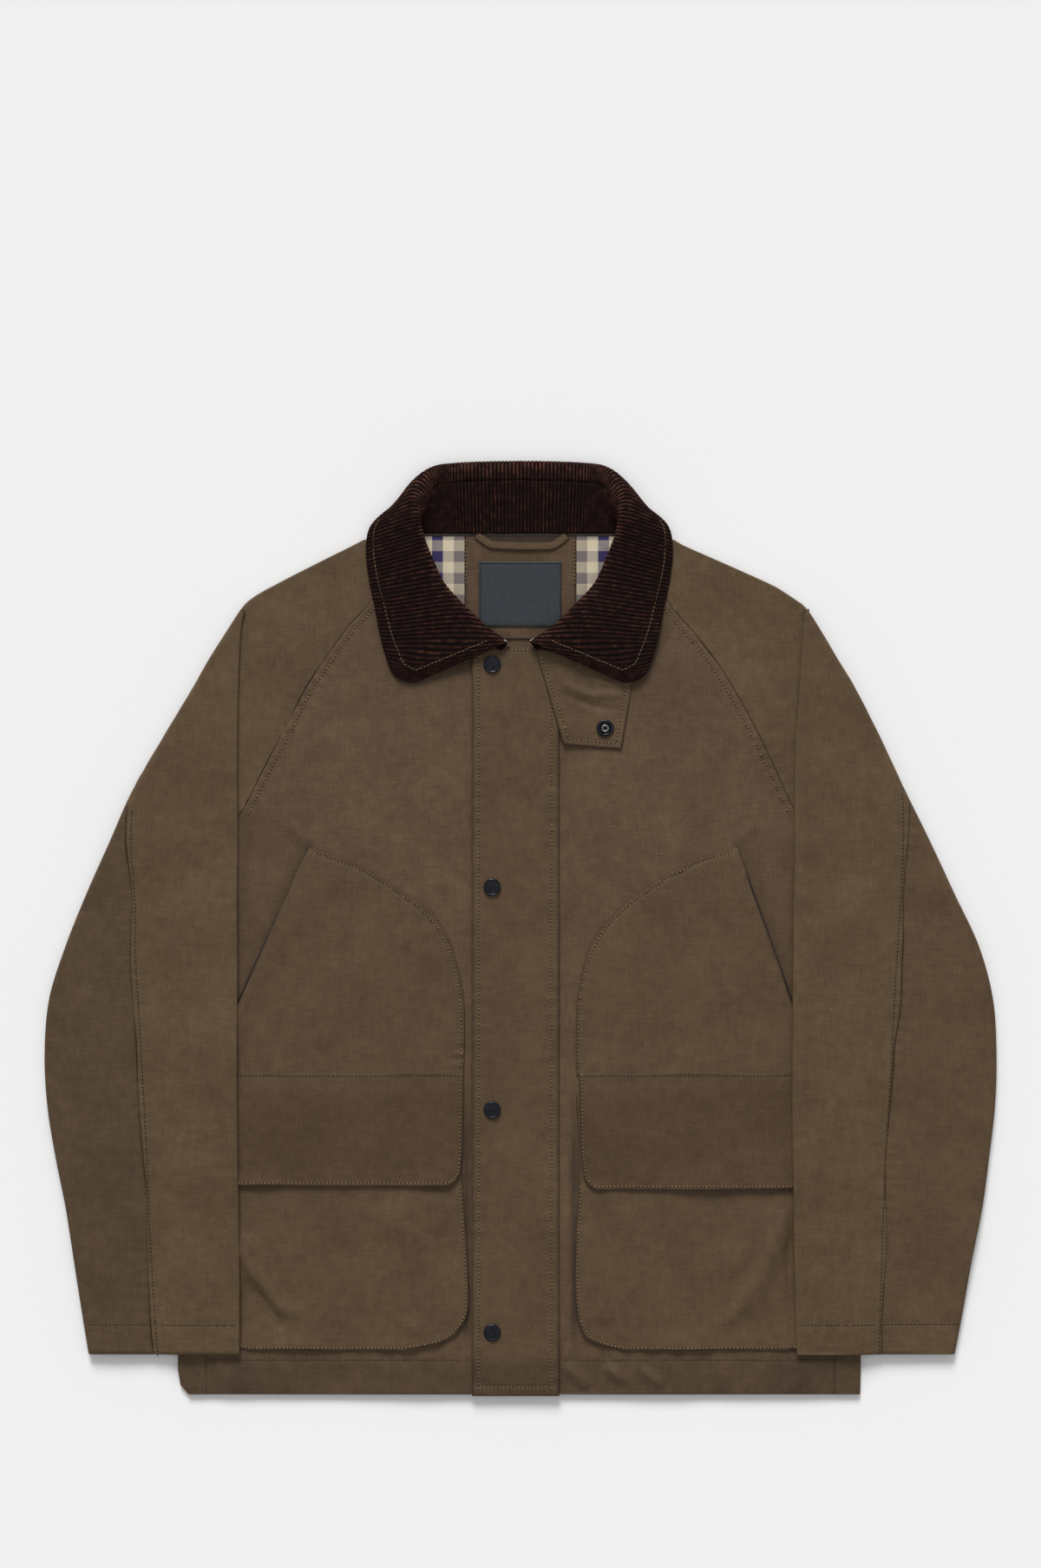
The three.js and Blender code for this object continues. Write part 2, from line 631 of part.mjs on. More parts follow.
// Shoulder stretch of the sleeve: from the outline or the hidden fold to the raglan seam.
function sleeveShoulder(name, sign) {
  const column = side(sign);
  const rows = rowsBetween(SHOULDER_ROWS, SHOULDER_TOP_Y, UNDERARM_Y).map((y) => {
    const raglan = raglanAt(column, y) + SEAM_GAP;
    const outline = along(OUTLINE, "y", column, y) - CLOTH / 2 - FOLD_RADIUS;
    const hidden = along(HIDDEN_FOLD, "y", column, y);
    const turned = y > SHOULDER_POINT_Y;
    const start = turned ? outline : hidden;
    const turn = (part) => {
      const angle = part * Math.PI;
      const x = start + FOLD_RADIUS * Math.sin(angle);
      const z = CLOTH / 2 + FOLD_RADIUS * (1 - Math.cos(angle));
      return { p: [sign * x, y, z], n: [sign * Math.sin(angle), 0, -Math.cos(angle)] };
    };
    const wrap = [1, 0.5, 0].map((part) => {
      const onTurn = turn(turnStart(y) * (1 - part * 0.5));
      onTurn.p[0] -= sign * part * wrapUnder(y);
      return onTurn;
    });
    const arc = [0.25, 0.5, 0.75].map((part) => turn(lerp(turnStart(y), 1, part)));
    const flat = (x) => ({ p: [sign * x, y, frontUnder(x) + CLOTH / 2], n: [0, 0, 1] });
    const across = evenly(start, raglan, 4).map(flat);
    if (turned) {
      return [...wrap, ...arc, ...across];
    }
    const squeeze = evenly(start + 4, start + 0.6, 5).map(flat);
    return [...squeeze, ...across];
  });
  foldedWall(name, COLOURS.waxed, rows);
}

// Pocket pieces: the upper piece, the bag with its soft fullness and the flap over its mouth.
function bagPuff(table, x, y) {
  const outer = along(table, "y", "outer", y);
  const inner = along(table, "y", "inner", y);
  const fromSide = Math.min(outer - Math.abs(x), Math.abs(x) - inner);
  const fromBottom = y - table[table.length - 1].y;
  const fromTop = BAG_TOP_Y - y;
  const soft = (distance) => smoothstep(0, BAG_PUFF_REACH, distance);
  return BAG_PUFF * soft(fromSide) * soft(fromBottom) * soft(fromTop);
}

function pocket(wearer, sign) {
  const edges = (table) => {
    const outer = (y) => sign * along(table, "y", "outer", y);
    const inner = (y) => sign * along(table, "y", "inner", y);
    return sign < 0 ? { left: outer, right: inner } : { left: inner, right: outer };
  };
  const upperRows = [71, 67, 56, 39, 17, -8, -33, -60, -92, POCKET_SEAM_Y];
  flatPanel(`pocket_${wearer}_upper`, COLOURS.waxedDark, {
    rows: upperRows,
    columns: 4,
    ...edges(POCKET_UPPER[wearer]),
    under: (x) => onFront(x),
  });
  const bag = POCKET_BAG[wearer];
  flatPanel(`pocket_${wearer}_bag`, COLOURS.waxedDark, {
    rows: [BAG_TOP_Y, -165, -190, -220, -260, -300, -328, -342, -354, -362],
    columns: 7,
    ...edges(bag),
    under: (x, y) => onFront(x) + bagPuff(bag, x, y),
  });
  const flapTable = POCKET_FLAP[wearer];
  const lift = (y) => LAYER * (1 - smoothstep(FLAP_RISE_END_Y, FLAP_TOP_Y, y));
  flatPanel(`pocket_${wearer}_flap`, COLOURS.waxedDark, {
    rows: [FLAP_TOP_Y, -131, FLAP_RISE_END_Y, -165, -190, -206, -214, flapTable[flapTable.length - 1].y],
    columns: 7,
    ...edges(flapTable),
    under: (x, y) => onFront(x) + lift(y) + bagPuff(bag, x, y) + 0.1,
  });
}

// Storm flap down the middle of the front, with four studs.
const stormFlapUnder = (x) => onFront(x);

function stormFlap() {
  flatPanel("storm_flap", COLOURS.waxedDark, {
    rows: evenly(STORM_FLAP.top, STORM_FLAP.bottom, 8),
    columns: 3,
    left: () => STORM_FLAP.left,
    right: () => STORM_FLAP.right,
    under: stormFlapUnder,
    wall: STORM_FLAP_CLOTH,
  });
}

// Throat tab: it lies on the storm flap's edge and steps down to the front beside it.
function tabUnder(x) {
  const step = STORM_FLAP_CLOTH + LAYER_GAP;
  return onFront(x) + step * (1 - smoothstep(STORM_FLAP.right + 3, STORM_FLAP.right + 24, x));
}

function throatTab() {
  const { topLeft, topRight, bottomLeft, bottomRight } = TAB_CORNERS;
  const low = evenly(0, 1, 3).map((down) => {
    const start = mix(topLeft, bottomLeft, down);
    const end = mix(topRight, bottomRight, down);
    return evenly(0, 1, 8).map((across) => {
      const [x, y] = mix(start, end, across);
      return [x, y, tabUnder(x)];
    });
  });
  const high = low.map((row) => row.map(([x, y, z]) => [x, y, z + CLOTH]));
  addPiece("throat_tab", solidBetween(high, low), cloth(COLOURS.waxedDark));
}

// Press stud: a pressed cap with a rolled rim, or the ring of its socket.
function stud(name, x, y, base, profile) {
  const around = 14;
  const geometry = new THREE.LatheGeometry(profile.map(([r, z]) => new THREE.Vector2(r, z)), around);
  geometry.rotateX(Math.PI / 2);
  const piece = addPiece(name, geometry, metal());
  piece.position.set(x, y, base + LAYER_GAP);
}

const CAP_PROFILE = [
  [0, 0],
  [STUD_RADIUS - 0.5, 0],
  [STUD_RADIUS, 0.6],
  [STUD_RADIUS - 0.3, 1.5],
  [STUD_RADIUS - 1.3, 1.9],
  [STUD_RADIUS - 2.2, 1.7],
  [STUD_RADIUS - 3.8, 2.2],
  [0, STUD_HEIGHT],
];

const SOCKET_PROFILE = [
  [TAB_STUD.hole, 0],
  [STUD_RADIUS - 0.4, 0],
  [STUD_RADIUS, 0.7],
  [STUD_RADIUS - 0.8, 1.5],
  [TAB_STUD.hole + 1.4, 1.6],
  [TAB_STUD.hole, 1.1],
  [TAB_STUD.hole, 0],
];

function studs() {
  const onFlap = stormFlapUnder(STUD_X) + STORM_FLAP_CLOTH;
  for (let i = 0; i < 4; i += 1) {
    stud(`stud_${i + 1}`, STUD_X, TOP_STUD_Y - i * STUD_PITCH, onFlap, CAP_PROFILE);
  }
  stud("stud_tab", TAB_STUD.x, TAB_STUD.y, tabUnder(TAB_STUD.x) + CLOTH, SOCKET_PROFILE);
}

// Collar surface: across 0 to 1 is the stand side up to the roll, 1 to 2 the leaf to its outer edge.
function collarPoint(at, across) {
  const mirrored = at > COLLAR_END;
  const along9 = mirrored ? 2 * COLLAR_END - at : at;
  const sign = mirrored ? 1 : -1;
  const value = (column) => along(COLLAR, "at", column, along9);
  const lift = mirrored ? along(TAB_LIFT, "at", "lift", along9) : 0;
  const neck = new THREE.Vector3(value("nx"), value("ny"), value("nz") + 0.4 * lift);
  const roll = new THREE.Vector3(value("rx"), value("ry"), value("rz") + lift);
  const edge = new THREE.Vector3(value("ex"), value("ey"), value("ez") + lift);
  const overRoll = new THREE.Vector3(value("tx"), value("ty"), value("tz"));
  const standing = 1 - smoothstep(4.0, 5.2, along9);
  const leave = roll.clone().sub(neck).multiplyScalar(lerp(1, 0.5, standing));
  leave.z += lerp(3, 9, standing);
  const arrive = edge.clone().sub(roll);
  const [from, to, first, second, t] = across <= 1
    ? [neck, roll, leave, overRoll, across]
    : [roll, edge, overRoll, arrive, across - 1];
  const point = from.clone().multiplyScalar(2 * t ** 3 - 3 * t ** 2 + 1);
  point.addScaledVector(to, 3 * t ** 2 - 2 * t ** 3);
  point.addScaledVector(first, t ** 3 - 2 * t ** 2 + t);
  point.addScaledVector(second, t ** 3 - t ** 2);
  point.z = Math.max(point.z, COLLAR_LOWEST);
  point.x = COLLAR_CENTRE_X + sign * point.x;
  return point;
}

function collarNormal(at, across) {
  const step = 0.02;
  const u = collarPoint(Math.min(at + step, 2 * COLLAR_END), across).sub(collarPoint(Math.max(at - step, 0), across));
  const v = collarPoint(at, Math.min(across + step, 2)).sub(collarPoint(at, Math.max(across - step, 0)));
  return u.cross(v).normalize();
}

// A stretch of the collar, with the wales raised in the outer points over a plain inside.
function collarPiece(name, acrossOf, waleHeight) {
  const outer = [];
  const inner = [];
  const rows = evenly(0, 2 * COLLAR_END, WALE_COUNT).map((at) =>
    acrossOf(at).map((across) => ({ p: collarPoint(at, across), n: collarNormal(at, across) })));
  const between = (a, b) => a.map(({ p, n }, j) => ({ p: p.clone().lerp(b[j].p, 0.5), n: n.clone().lerp(b[j].n, 0.5) }));
  rows.forEach((row, i) => {
    outer.push(row.map(({ p, n }) => p.clone().addScaledVector(n, CORDUROY / 2).toArray()));
    inner.push(row.map(({ p, n }) => p.clone().addScaledVector(n, -CORDUROY / 2).toArray()));
    if (waleHeight > 0 && i + 1 < rows.length) {
      const ridge = between(row, rows[i + 1]);
      outer.push(ridge.map(({ p, n }) => p.clone().addScaledVector(n, CORDUROY / 2 + waleHeight).toArray()));
      inner.push(ridge.map(({ p, n }) => p.clone().addScaledVector(n, -CORDUROY / 2).toArray()));
    }
  });
  addPiece(name, solidBetween(outer, inner), cloth(COLOURS.corduroy));
}

function collar() {
  const seam = (at) => along(STAND_SEAM, "at", "seam", Math.min(at, 2 * COLLAR_END - at));
  const cornerAt = 4.9;
  const seamHalf = (at) => {
    const fromCorner = Math.abs(Math.min(at, 2 * COLLAR_END - at) - cornerAt);
    return 0.01 + 0.045 * (1 - smoothstep(0.4, 1.2, fromCorner));
  };
  const fall = (at) => {
    const start = seam(at) + seamHalf(at);
    const roll = Math.max(1.16, start + 0.1);
    return [start, lerp(start, roll, 0.45), roll, lerp(roll, 2, 0.3), lerp(roll, 2, 0.65), 2];
  };
  const stand = (at) => evenly(0, seam(at) - seamHalf(at), 4);
  collarPiece("collar_fall", fall, WALE_HEIGHT);
  collarPiece("collar_stand", stand, 0);
}

// Inside the neck: a facing in the middle, lining each side of it, a bare label and a hanger loop.
function insideNeck() {
  const under = () => LAYER;
  const standClearance = 7;
  const neck = (y, column) => along(NECK_EDGE, "y", column, y) - standClearance;
  const top = NECK_SEAM_Y - 1;
  flatPanel("neck_facing", COLOURS.facing, {
    rows: [top, 320, 300, 280, 268, 262, 256, 251],
    columns: 4,
    left: (y) => -Math.min(FACING_HALF_WIDTH, neck(y, "left")),
    right: (y) => Math.min(FACING_HALF_WIDTH, neck(y, "right")),
    under,
    wall: THIN_CLOTH,
  });
  const liningRows = [top, 334, 320, 300, 285, 276, 270];
  const seam = FACING_HALF_WIDTH + LAYER_GAP;
  flatPanel("neck_lining_right", COLOURS.lining, {
    rows: liningRows,
    columns: 3,
    left: (y) => -Math.min(neck(y, "left"), 84),
    right: () => -seam,
    under,
    wall: THIN_CLOTH,
  });
  flatPanel("neck_lining_left", COLOURS.lining, {
    rows: liningRows,
    columns: 3,
    left: () => seam,
    right: (y) => Math.min(neck(y, "right"), 82),
    under,
    wall: THIN_CLOTH,
  });
  const onFacing = LAYER + THIN_CLOTH + LAYER_GAP;
  flatPanel("neck_label", COLOURS.label, {
    rows: evenly(LABEL.top, LABEL.bottom, 2),
    columns: 2,
    left: () => LABEL.left,
    right: () => LABEL.right,
    under: () => onFacing,
    wall: THIN_CLOTH,
  });
  const strap = [[-35, 337], [-26, 330], [-12, 328], [0, 327.4], [14, 327.6], [28, 328.4], [39, 337]];
  const edge = (shift) => strap.map(([x, y]) => [x, y + shift * HANGER_LOOP.width * 0.5, onFacing]);
  const low = [edge(1), edge(-1)];
  const high = low.map((row) => row.map(([x, y, z]) => [x, y, z + HANGER_LOOP.thickness]));
  addPiece("hanger_loop", solidBetween(high, low), cloth(COLOURS.waxedDark));
}

backPanel();
frontPanel("front_right", -1);
frontPanel("front_left", 1);
for (const [wearer, sign] of [["right", -1], ["left", 1]]) {
  sleeveShoulder(`sleeve_${wearer}_shoulder`, sign);
  sleeveFront(`sleeve_${wearer}_front`, sign);
  sleeveBack(`sleeve_${wearer}_back`, sign);
  pocket(wearer, sign);
}
stormFlap();
throatTab();
studs();
collar();
insideNeck();

export default jacket;
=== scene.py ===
# %% [markdown]
# # A waxed cotton jacket, laid flat
#
# The jacket lies closed on a pale surface, seen from straight above. Its cut pieces come from the
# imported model, and every cell here dresses one of them: cloth first, then collar, studs and thread.

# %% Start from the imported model
import json
import math

import bmesh
import bpy
import numpy as np
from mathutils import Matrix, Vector
from mathutils import noise
from mathutils.bvhtree import BVHTree

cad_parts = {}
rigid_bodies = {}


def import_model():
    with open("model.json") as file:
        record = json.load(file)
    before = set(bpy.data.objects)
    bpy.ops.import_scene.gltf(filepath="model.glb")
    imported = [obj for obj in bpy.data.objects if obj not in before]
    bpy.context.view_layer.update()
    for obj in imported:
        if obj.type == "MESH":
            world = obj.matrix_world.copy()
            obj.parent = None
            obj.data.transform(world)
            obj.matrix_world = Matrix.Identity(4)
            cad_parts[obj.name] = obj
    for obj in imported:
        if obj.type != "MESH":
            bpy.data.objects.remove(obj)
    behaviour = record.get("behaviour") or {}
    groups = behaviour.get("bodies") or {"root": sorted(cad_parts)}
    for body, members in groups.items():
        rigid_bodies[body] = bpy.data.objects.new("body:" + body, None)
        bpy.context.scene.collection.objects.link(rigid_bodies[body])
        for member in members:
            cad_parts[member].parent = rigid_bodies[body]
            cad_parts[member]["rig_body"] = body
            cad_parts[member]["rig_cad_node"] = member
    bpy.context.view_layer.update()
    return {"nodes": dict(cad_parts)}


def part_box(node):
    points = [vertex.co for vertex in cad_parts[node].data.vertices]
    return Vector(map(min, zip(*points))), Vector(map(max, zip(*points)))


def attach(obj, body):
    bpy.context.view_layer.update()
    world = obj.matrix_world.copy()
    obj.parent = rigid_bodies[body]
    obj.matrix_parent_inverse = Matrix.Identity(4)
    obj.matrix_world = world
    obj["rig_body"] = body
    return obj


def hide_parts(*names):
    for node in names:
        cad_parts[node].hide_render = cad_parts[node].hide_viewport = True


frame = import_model()
MM = 0.001
for each in bpy.context.selected_objects:
    each.select_set(False)
print("nodes:", len(frame["nodes"]))

# %% [markdown]
# The camera looks straight down, so its rotation stays at zero and the top of the picture is +Y. The
# picture is 1200 by 1807 and shows 0.75 mm with each pixel, which gives the distance for a 75 mm lens.

# %% Camera
MM_PER_PIXEL = 0.75
PICTURE_HEIGHT = 1807
PICTURE_CENTRE_Y = 126 * MM
LENS = 75.0
SENSOR = 36.0

camera_data = bpy.data.cameras.new("camera")
camera_data.lens = LENS
camera_data.sensor_width = SENSOR
camera_data.sensor_fit = "AUTO"
camera = bpy.data.objects.new("camera", camera_data)
camera.location = (0.0, PICTURE_CENTRE_Y, PICTURE_HEIGHT * MM_PER_PIXEL * MM * LENS / SENSOR)
bpy.context.scene.collection.objects.link(camera)
bpy.context.scene.camera = camera
bpy.context.scene.view_settings.view_transform = "Standard"
print("camera height in metres:", round(camera.location.z, 3))

# %% [markdown]
# Tables hold the few measured sizes in millimetres, as rows of (key, left, right). A smooth curve runs
# through the rows, and it serves one number or a whole array, which keeps the loops short.

# %% Curves through tables
LEFT, RIGHT = 1, 2


def along(table, column, at):
    rows = sorted(table)
    keys = np.array([row[0] for row in rows], float)
    values = np.array([row[column] for row in rows], float)
    before = np.maximum(np.arange(len(rows)) - 1, 0)
    after = np.minimum(np.arange(len(rows)) + 1, len(rows) - 1)
    slopes = (values[after] - values[before]) / (keys[after] - keys[before])
    at = np.clip(np.asarray(at, float), keys[0], keys[-1])
    low = np.clip(np.searchsorted(keys, at, side="right") - 1, 0, len(rows) - 2)
    width = keys[low + 1] - keys[low]
    t = (at - keys[low]) / width
    start = (2 * t**3 - 3 * t**2 + 1) * values[low] + (t**3 - 2 * t**2 + t) * width * slopes[low]
    end = (3 * t**2 - 2 * t**3) * values[low + 1] + (t**3 - t**2) * width * slopes[low + 1]
    return start + end


def smoothstep(low, high, value):
    t = np.clip((np.asarray(value, float) - low) / (high - low), 0, 1)
    return t * t * (3 - 2 * t)


def lerp(a, b, t):
    return a + (b - a) * t


# %% [markdown]
# Materials are small node trees. One function turns a hex colour to linear, and one adds a node with
# its settings and links.

# %% Material helpers
def colour(code):
    channels = [int(code[i:i + 2], 16) / 255 for i in (1, 3, 5)]
    linear = [c / 12.92 if c <= 0.04045 else ((c + 0.055) / 1.055) ** 2.4 for c in channels]
    return (*linear, 1.0)


def new_material(name):
    material = bpy.data.materials.new(name)
    material.use_nodes = True
    return material, material.node_tree.nodes["Principled BSDF"]


def add_node(material, kind, settings=None, **links):
    tree = material.node_tree
    node = tree.nodes.new("ShaderNode" + kind)

    def socket(name):
        return node.inputs[int(name[1:])] if name[1:].isdigit() else node.inputs[name]

    for name, value in (settings or {}).items():
        if hasattr(node, name):
            setattr(node, name, value)
        else:
            socket(name).default_value = value
    for name, source in links.items():
        tree.links.new(source, socket(name))
    return node


def ramp(material, source, stops, interpolation="LINEAR"):
    node = add_node(material, "ValToRGB", i0=source)
    node.color_ramp.interpolation = interpolation
    while len(node.color_ramp.elements) < len(stops):
        node.color_ramp.elements.new(0.5)
    for element, (place, code) in zip(node.color_ramp.elements, stops):
        element.position = place
        element.color = colour(code)
    return node.outputs["Color"]


def object_point(material, scale):
    place = add_node(material, "TexCoord").outputs["Object"]
    return add_node(material, "Mapping", {"Scale": scale}, Vector=place).outputs["Vector"]


def cloth_noise(material, size_mm, stretch=(1, 1, 1), detail=3.0):
    scale = [s / (size_mm * MM) for s in stretch]
    point = object_point(material, scale)
    return add_node(material, "TexNoise", {"Scale": 1.0, "Detail": detail}, Vector=point).outputs["Fac"]


# %% [markdown]
# Waxed cotton is a tight plain weave dressed with wax. It is dull, with slubs along both threads and
# cloudy patches where the wax sits thicker. The real threads are 0.4 mm apart, too fine to show here,
# so the slubs are drawn 1.6 mm thick and 14 mm long. Towards the hem the colour is darkened as painted
# shade. The cloth at edges, seams and in folds is darkened as painted shade too, where shadow falls:
# each mesh says where with an attribute.

# %% Waxed cotton
SLUB_MM = 1.6
SLUB_LENGTH = 9.0
WAX_CLOUD_MM = 55.0
WAX_STAIN_MM = 9.0
WAX_GRAIN_MM = 1.7
HEM_SHADE_FROM = -362 * MM
HEM_SHADE_TO = -376 * MM
HEM_SHADE_LEVEL = 0.74
PAINTED_SHADE_FLOOR = 0.3


def waxed_cotton(name, deep, middle, light, roughness=0.62):
    material, shader = new_material(name)
    cloud = cloth_noise(material, WAX_CLOUD_MM, detail=4.0)
    stain = cloth_noise(material, WAX_STAIN_MM, detail=5.0)
    across = cloth_noise(material, SLUB_MM, (1 / SLUB_LENGTH, 1, 1), 2.0)
    upright = cloth_noise(material, SLUB_MM, (1, 1 / SLUB_LENGTH, 1), 2.0)
    threads = add_node(material, "Math", {"operation": "ADD"}, i0=across, i1=upright).outputs[0]
    grain = cloth_noise(material, WAX_GRAIN_MM, detail=1.0)
    blooms = add_node(material, "Math", {"operation": "ADD"}, i0=cloud, i1=stain).outputs[0]
    patches = add_node(material, "Math", {"operation": "MULTIPLY_ADD", "i1": 0.7}, i0=grain, i2=blooms)
    weave = add_node(material, "Math", {"operation": "MULTIPLY_ADD", "i1": 0.7}, i0=threads,
                     i2=patches.outputs[0])
    share = add_node(material, "MapRange", {"From Min": 1.65, "From Max": 2.45}, Value=weave.outputs[0])
    base = ramp(material, share.outputs[0], [(0.0, deep), (0.5, middle), (1.0, light)])
    place = add_node(material, "TexCoord").outputs["Object"]
    upright_place = add_node(material, "SeparateXYZ", Vector=place).outputs["Y"]
    # Painted shade: the colour darkens towards the hem.
    hem = add_node(material, "MapRange", {"From Min": HEM_SHADE_TO, "From Max": HEM_SHADE_FROM,
                                          "To Min": HEM_SHADE_LEVEL, "To Max": 1.0}, Value=upright_place)
    # Painted shade: the piece's attribute darkens the colour at rims, seams and shaded places.
    painted_shade = add_node(material, "Attribute", {"attribute_name": "painted_shade"}).outputs["Fac"]
    shade_channel = add_node(material, "MapRange", {"To Min": 1.0, "To Max": PAINTED_SHADE_FLOOR}, Value=painted_shade)
    toned = add_node(material, "VectorMath", {"operation": "SCALE"}, i0=base, Scale=hem.outputs[0])
    shaded_base = add_node(material, "VectorMath", {"operation": "SCALE"}, i0=toned.outputs[0], Scale=shade_channel.outputs[0])
    material.node_tree.links.new(shaded_base.outputs[0], shader.inputs["Base Color"])
    bump = add_node(material, "Bump", {"Strength": 0.35, "Distance": 0.0003}, Height=threads)
    material.node_tree.links.new(bump.outputs[0], shader.inputs["Normal"])
    shader.inputs["Roughness"].default_value = roughness
    shader.inputs["Sheen Weight"].default_value = 0.05
    shader.inputs["Sheen Roughness"].default_value = 0.45
    shader.inputs["Sheen Tint"].default_value = colour("#c9b79d")
    shader.inputs["Specular IOR Level"].default_value = 0.25
    return material


body_cloth = waxed_cotton("waxed_cotton_woven", "#4e3b28", "#564330", "#604b37")
sleeve_cloth = waxed_cotton("waxed_cotton_woven_sleeve", "#4c3a28", "#54422d", "#5d4a34")
pocket_cloth = waxed_cotton("waxed_cotton_woven_pocket", "#4a3826", "#52402c", "#5b4733")
# Painted shade: the flap takes a darker copy of the cloth, for its surface that tilts away from the light.
flap_shaded_cloth = waxed_cotton("waxed_cotton_woven_flap_painted_shade", "#423120", "#4a3825", "#523f2c")
# Painted shade: a darker copy of the cloth for the sleeve back, which slopes away from the light.
sleeve_back_shaded_cloth = waxed_cotton("waxed_cotton_woven_sleeve_back_painted_shade", "#443424", "#4c3b29", "#554330")
print("cloths:", body_cloth.name, sleeve_cloth.name, pocket_cloth.name)

# %% [markdown]
# Corduroy is cut pile: soft ridges with a short nap that takes light at its edges, and dark valleys
# where the ground weave shows. The colour follows the height of the wales, so the dark valleys and
# light crests also carry painted shade and painted highlight. Each collar mesh carries the height of
# its wales as an attribute.

# %% Corduroy
def corduroy():
    material, shader = new_material("cotton_corduroy_cut_pile")
    wale = add_node(material, "Attribute", {"attribute_name": "wale"}).outputs["Fac"]
    nap = cloth_noise(material, 1.1, detail=4.0)
    crest_lift = cloth_noise(material, 6.0, detail=4.0)
    toned = add_node(material, "Math", {"operation": "MULTIPLY_ADD", "i1": 0.7}, i0=nap, i2=crest_lift)
    height = add_node(material, "Math", {"operation": "MULTIPLY"}, i0=wale, i1=toned.outputs[0])
    stretched = add_node(material, "MapRange", {"From Min": 0.1, "From Max": 1.02}, Value=height.outputs[0])
    # Dark valleys and light crests: ground weave and pile, with painted shade and painted highlight.
    base = ramp(material, stretched.outputs[0],
                [(0.0, "#060303"), (0.3, "#110706"), (0.6, "#24110d"), (0.88, "#513127")])
    material.node_tree.links.new(base, shader.inputs["Base Color"])
    bump = add_node(material, "Bump", {"Strength": 0.5, "Distance": 0.0004}, Height=nap)
    material.node_tree.links.new(bump.outputs[0], shader.inputs["Normal"])
    shader.inputs["Roughness"].default_value = 0.85
    shader.inputs["Sheen Weight"].default_value = 0.04
    shader.inputs["Sheen Roughness"].default_value = 0.3
    shader.inputs["Sheen Tint"].default_value = colour("#8a4f35")
    shader.inputs["Specular IOR Level"].default_value = 0.08
    return material


collar_cloth = corduroy()

# %% [markdown]
# The lining is a gingham: coloured threads cross, so a square is full colour where both agree and a
# blend where they don't. Columns repeat taupe, cream, navy, cream from the facing outwards, and rows
# navy, cream. One check is 9.4 mm.

# %% Gingham lining
CHECK = 9.4 * MM
FACING_HALF_WIDTH = 48.2 * MM
CHECK_ROW_START = 345.9 * MM


def gingham():
    material, shader = new_material("cotton_gingham_yarn_dyed")
    place = add_node(material, "TexCoord").outputs["Object"]
    split = add_node(material, "SeparateXYZ", Vector=place)
    out = add_node(material, "Math", {"operation": "ABSOLUTE"}, i0=split.outputs["X"])
    column = add_node(material, "MapRange", {"clamp": False}, Value=out.outputs[0])
    column.inputs["From Min"].default_value = FACING_HALF_WIDTH
    column.inputs["From Max"].default_value = FACING_HALF_WIDTH + 4 * CHECK
    row = add_node(material, "MapRange", {"clamp": False}, Value=split.outputs["Y"])
    row.inputs["From Min"].default_value = CHECK_ROW_START
    row.inputs["From Max"].default_value = CHECK_ROW_START - 2 * CHECK
    column_part = add_node(material, "Math", {"operation": "FRACT"}, i0=column.outputs[0])
    row_part = add_node(material, "Math", {"operation": "FRACT"}, i0=row.outputs[0])
    warp = ramp(material, column_part.outputs[0],
                [(0.0, "#82766a"), (0.25, "#c6baa0"), (0.5, "#2a2150"), (0.75, "#c6baa0")], "CONSTANT")
    weft = ramp(material, row_part.outputs[0], [(0.0, "#2a2150"), (0.5, "#c6baa0")], "CONSTANT")
    crossing = cloth_noise(material, 0.9, detail=1.0)
    share = add_node(material, "MapRange", {"To Min": 0.1, "To Max": 0.62}, Value=crossing)
    both = add_node(material, "Mix", {"data_type": "RGBA"}, i0=share.outputs[0], i6=warp, i7=weft)
    material.node_tree.links.new(both.outputs[2], shader.inputs["Base Color"])
    bump = add_node(material, "Bump", {"Strength": 0.2, "Distance": 0.0002}, Height=crossing)
    material.node_tree.links.new(bump.outputs[0], shader.inputs["Normal"])
    shader.inputs["Roughness"].default_value = 0.9
    return material


lining_cloth = gingham()

# %% [markdown]
# The label is a close satin weave in dark slate and stays bare. Thread is plied cotton. The studs are
# brass plated to gunmetal, satin all over with light scuffs.

# %% Label, thread and metal
def plain_weave(name, deep, light, size_mm, roughness=0.8, stretch=(1, 1, 1)):
    material, shader = new_material(name)
    weave = cloth_noise(material, size_mm, stretch)
    base = ramp(material, weave, [(0.3, deep), (0.7, light)])
    material.node_tree.links.new(base, shader.inputs["Base Color"])
    bump = add_node(material, "Bump", {"Strength": 0.3, "Distance": 0.0002}, Height=weave)
    material.node_tree.links.new(bump.outputs[0], shader.inputs["Normal"])
    shader.inputs["Roughness"].default_value = roughness
    return material


def gunmetal(name, deep, light):
    material, shader = new_material(name)
    scuff = cloth_noise(material, 1.8, detail=6.0)
    base = ramp(material, scuff, [(0.35, deep), (0.7, light)])
    material.node_tree.links.new(base, shader.inputs["Base Color"])
    rough = add_node(material, "MapRange", {"To Min": 0.24, "To Max": 0.5}, Value=scuff)
    material.node_tree.links.new(rough.outputs[0], shader.inputs["Roughness"])
    shader.inputs["Metallic"].default_value = 0.85
    shader.inputs["Coat Weight"].default_value = 0.25
    shader.inputs["Coat Roughness"].default_value = 0.15
    return material


facing_cloth = waxed_cotton("cotton_facing_woven", "#46341f", "#4f3c2b", "#584533")
label_cloth = plain_weave("satin_label_woven", "#1d242a", "#252e35", 1.2, 0.55, (1, 0.15, 1))
tan_thread = plain_weave("cotton_thread_tan_plied", "#6b5238", "#94744e", 0.8)
brown_thread = plain_weave("cotton_thread_brown_plied", "#5c472f", "#957549", 1.6)
dim_thread = plain_weave("cotton_thread_dim_plied", "#44341f", "#654d33", 1.6)
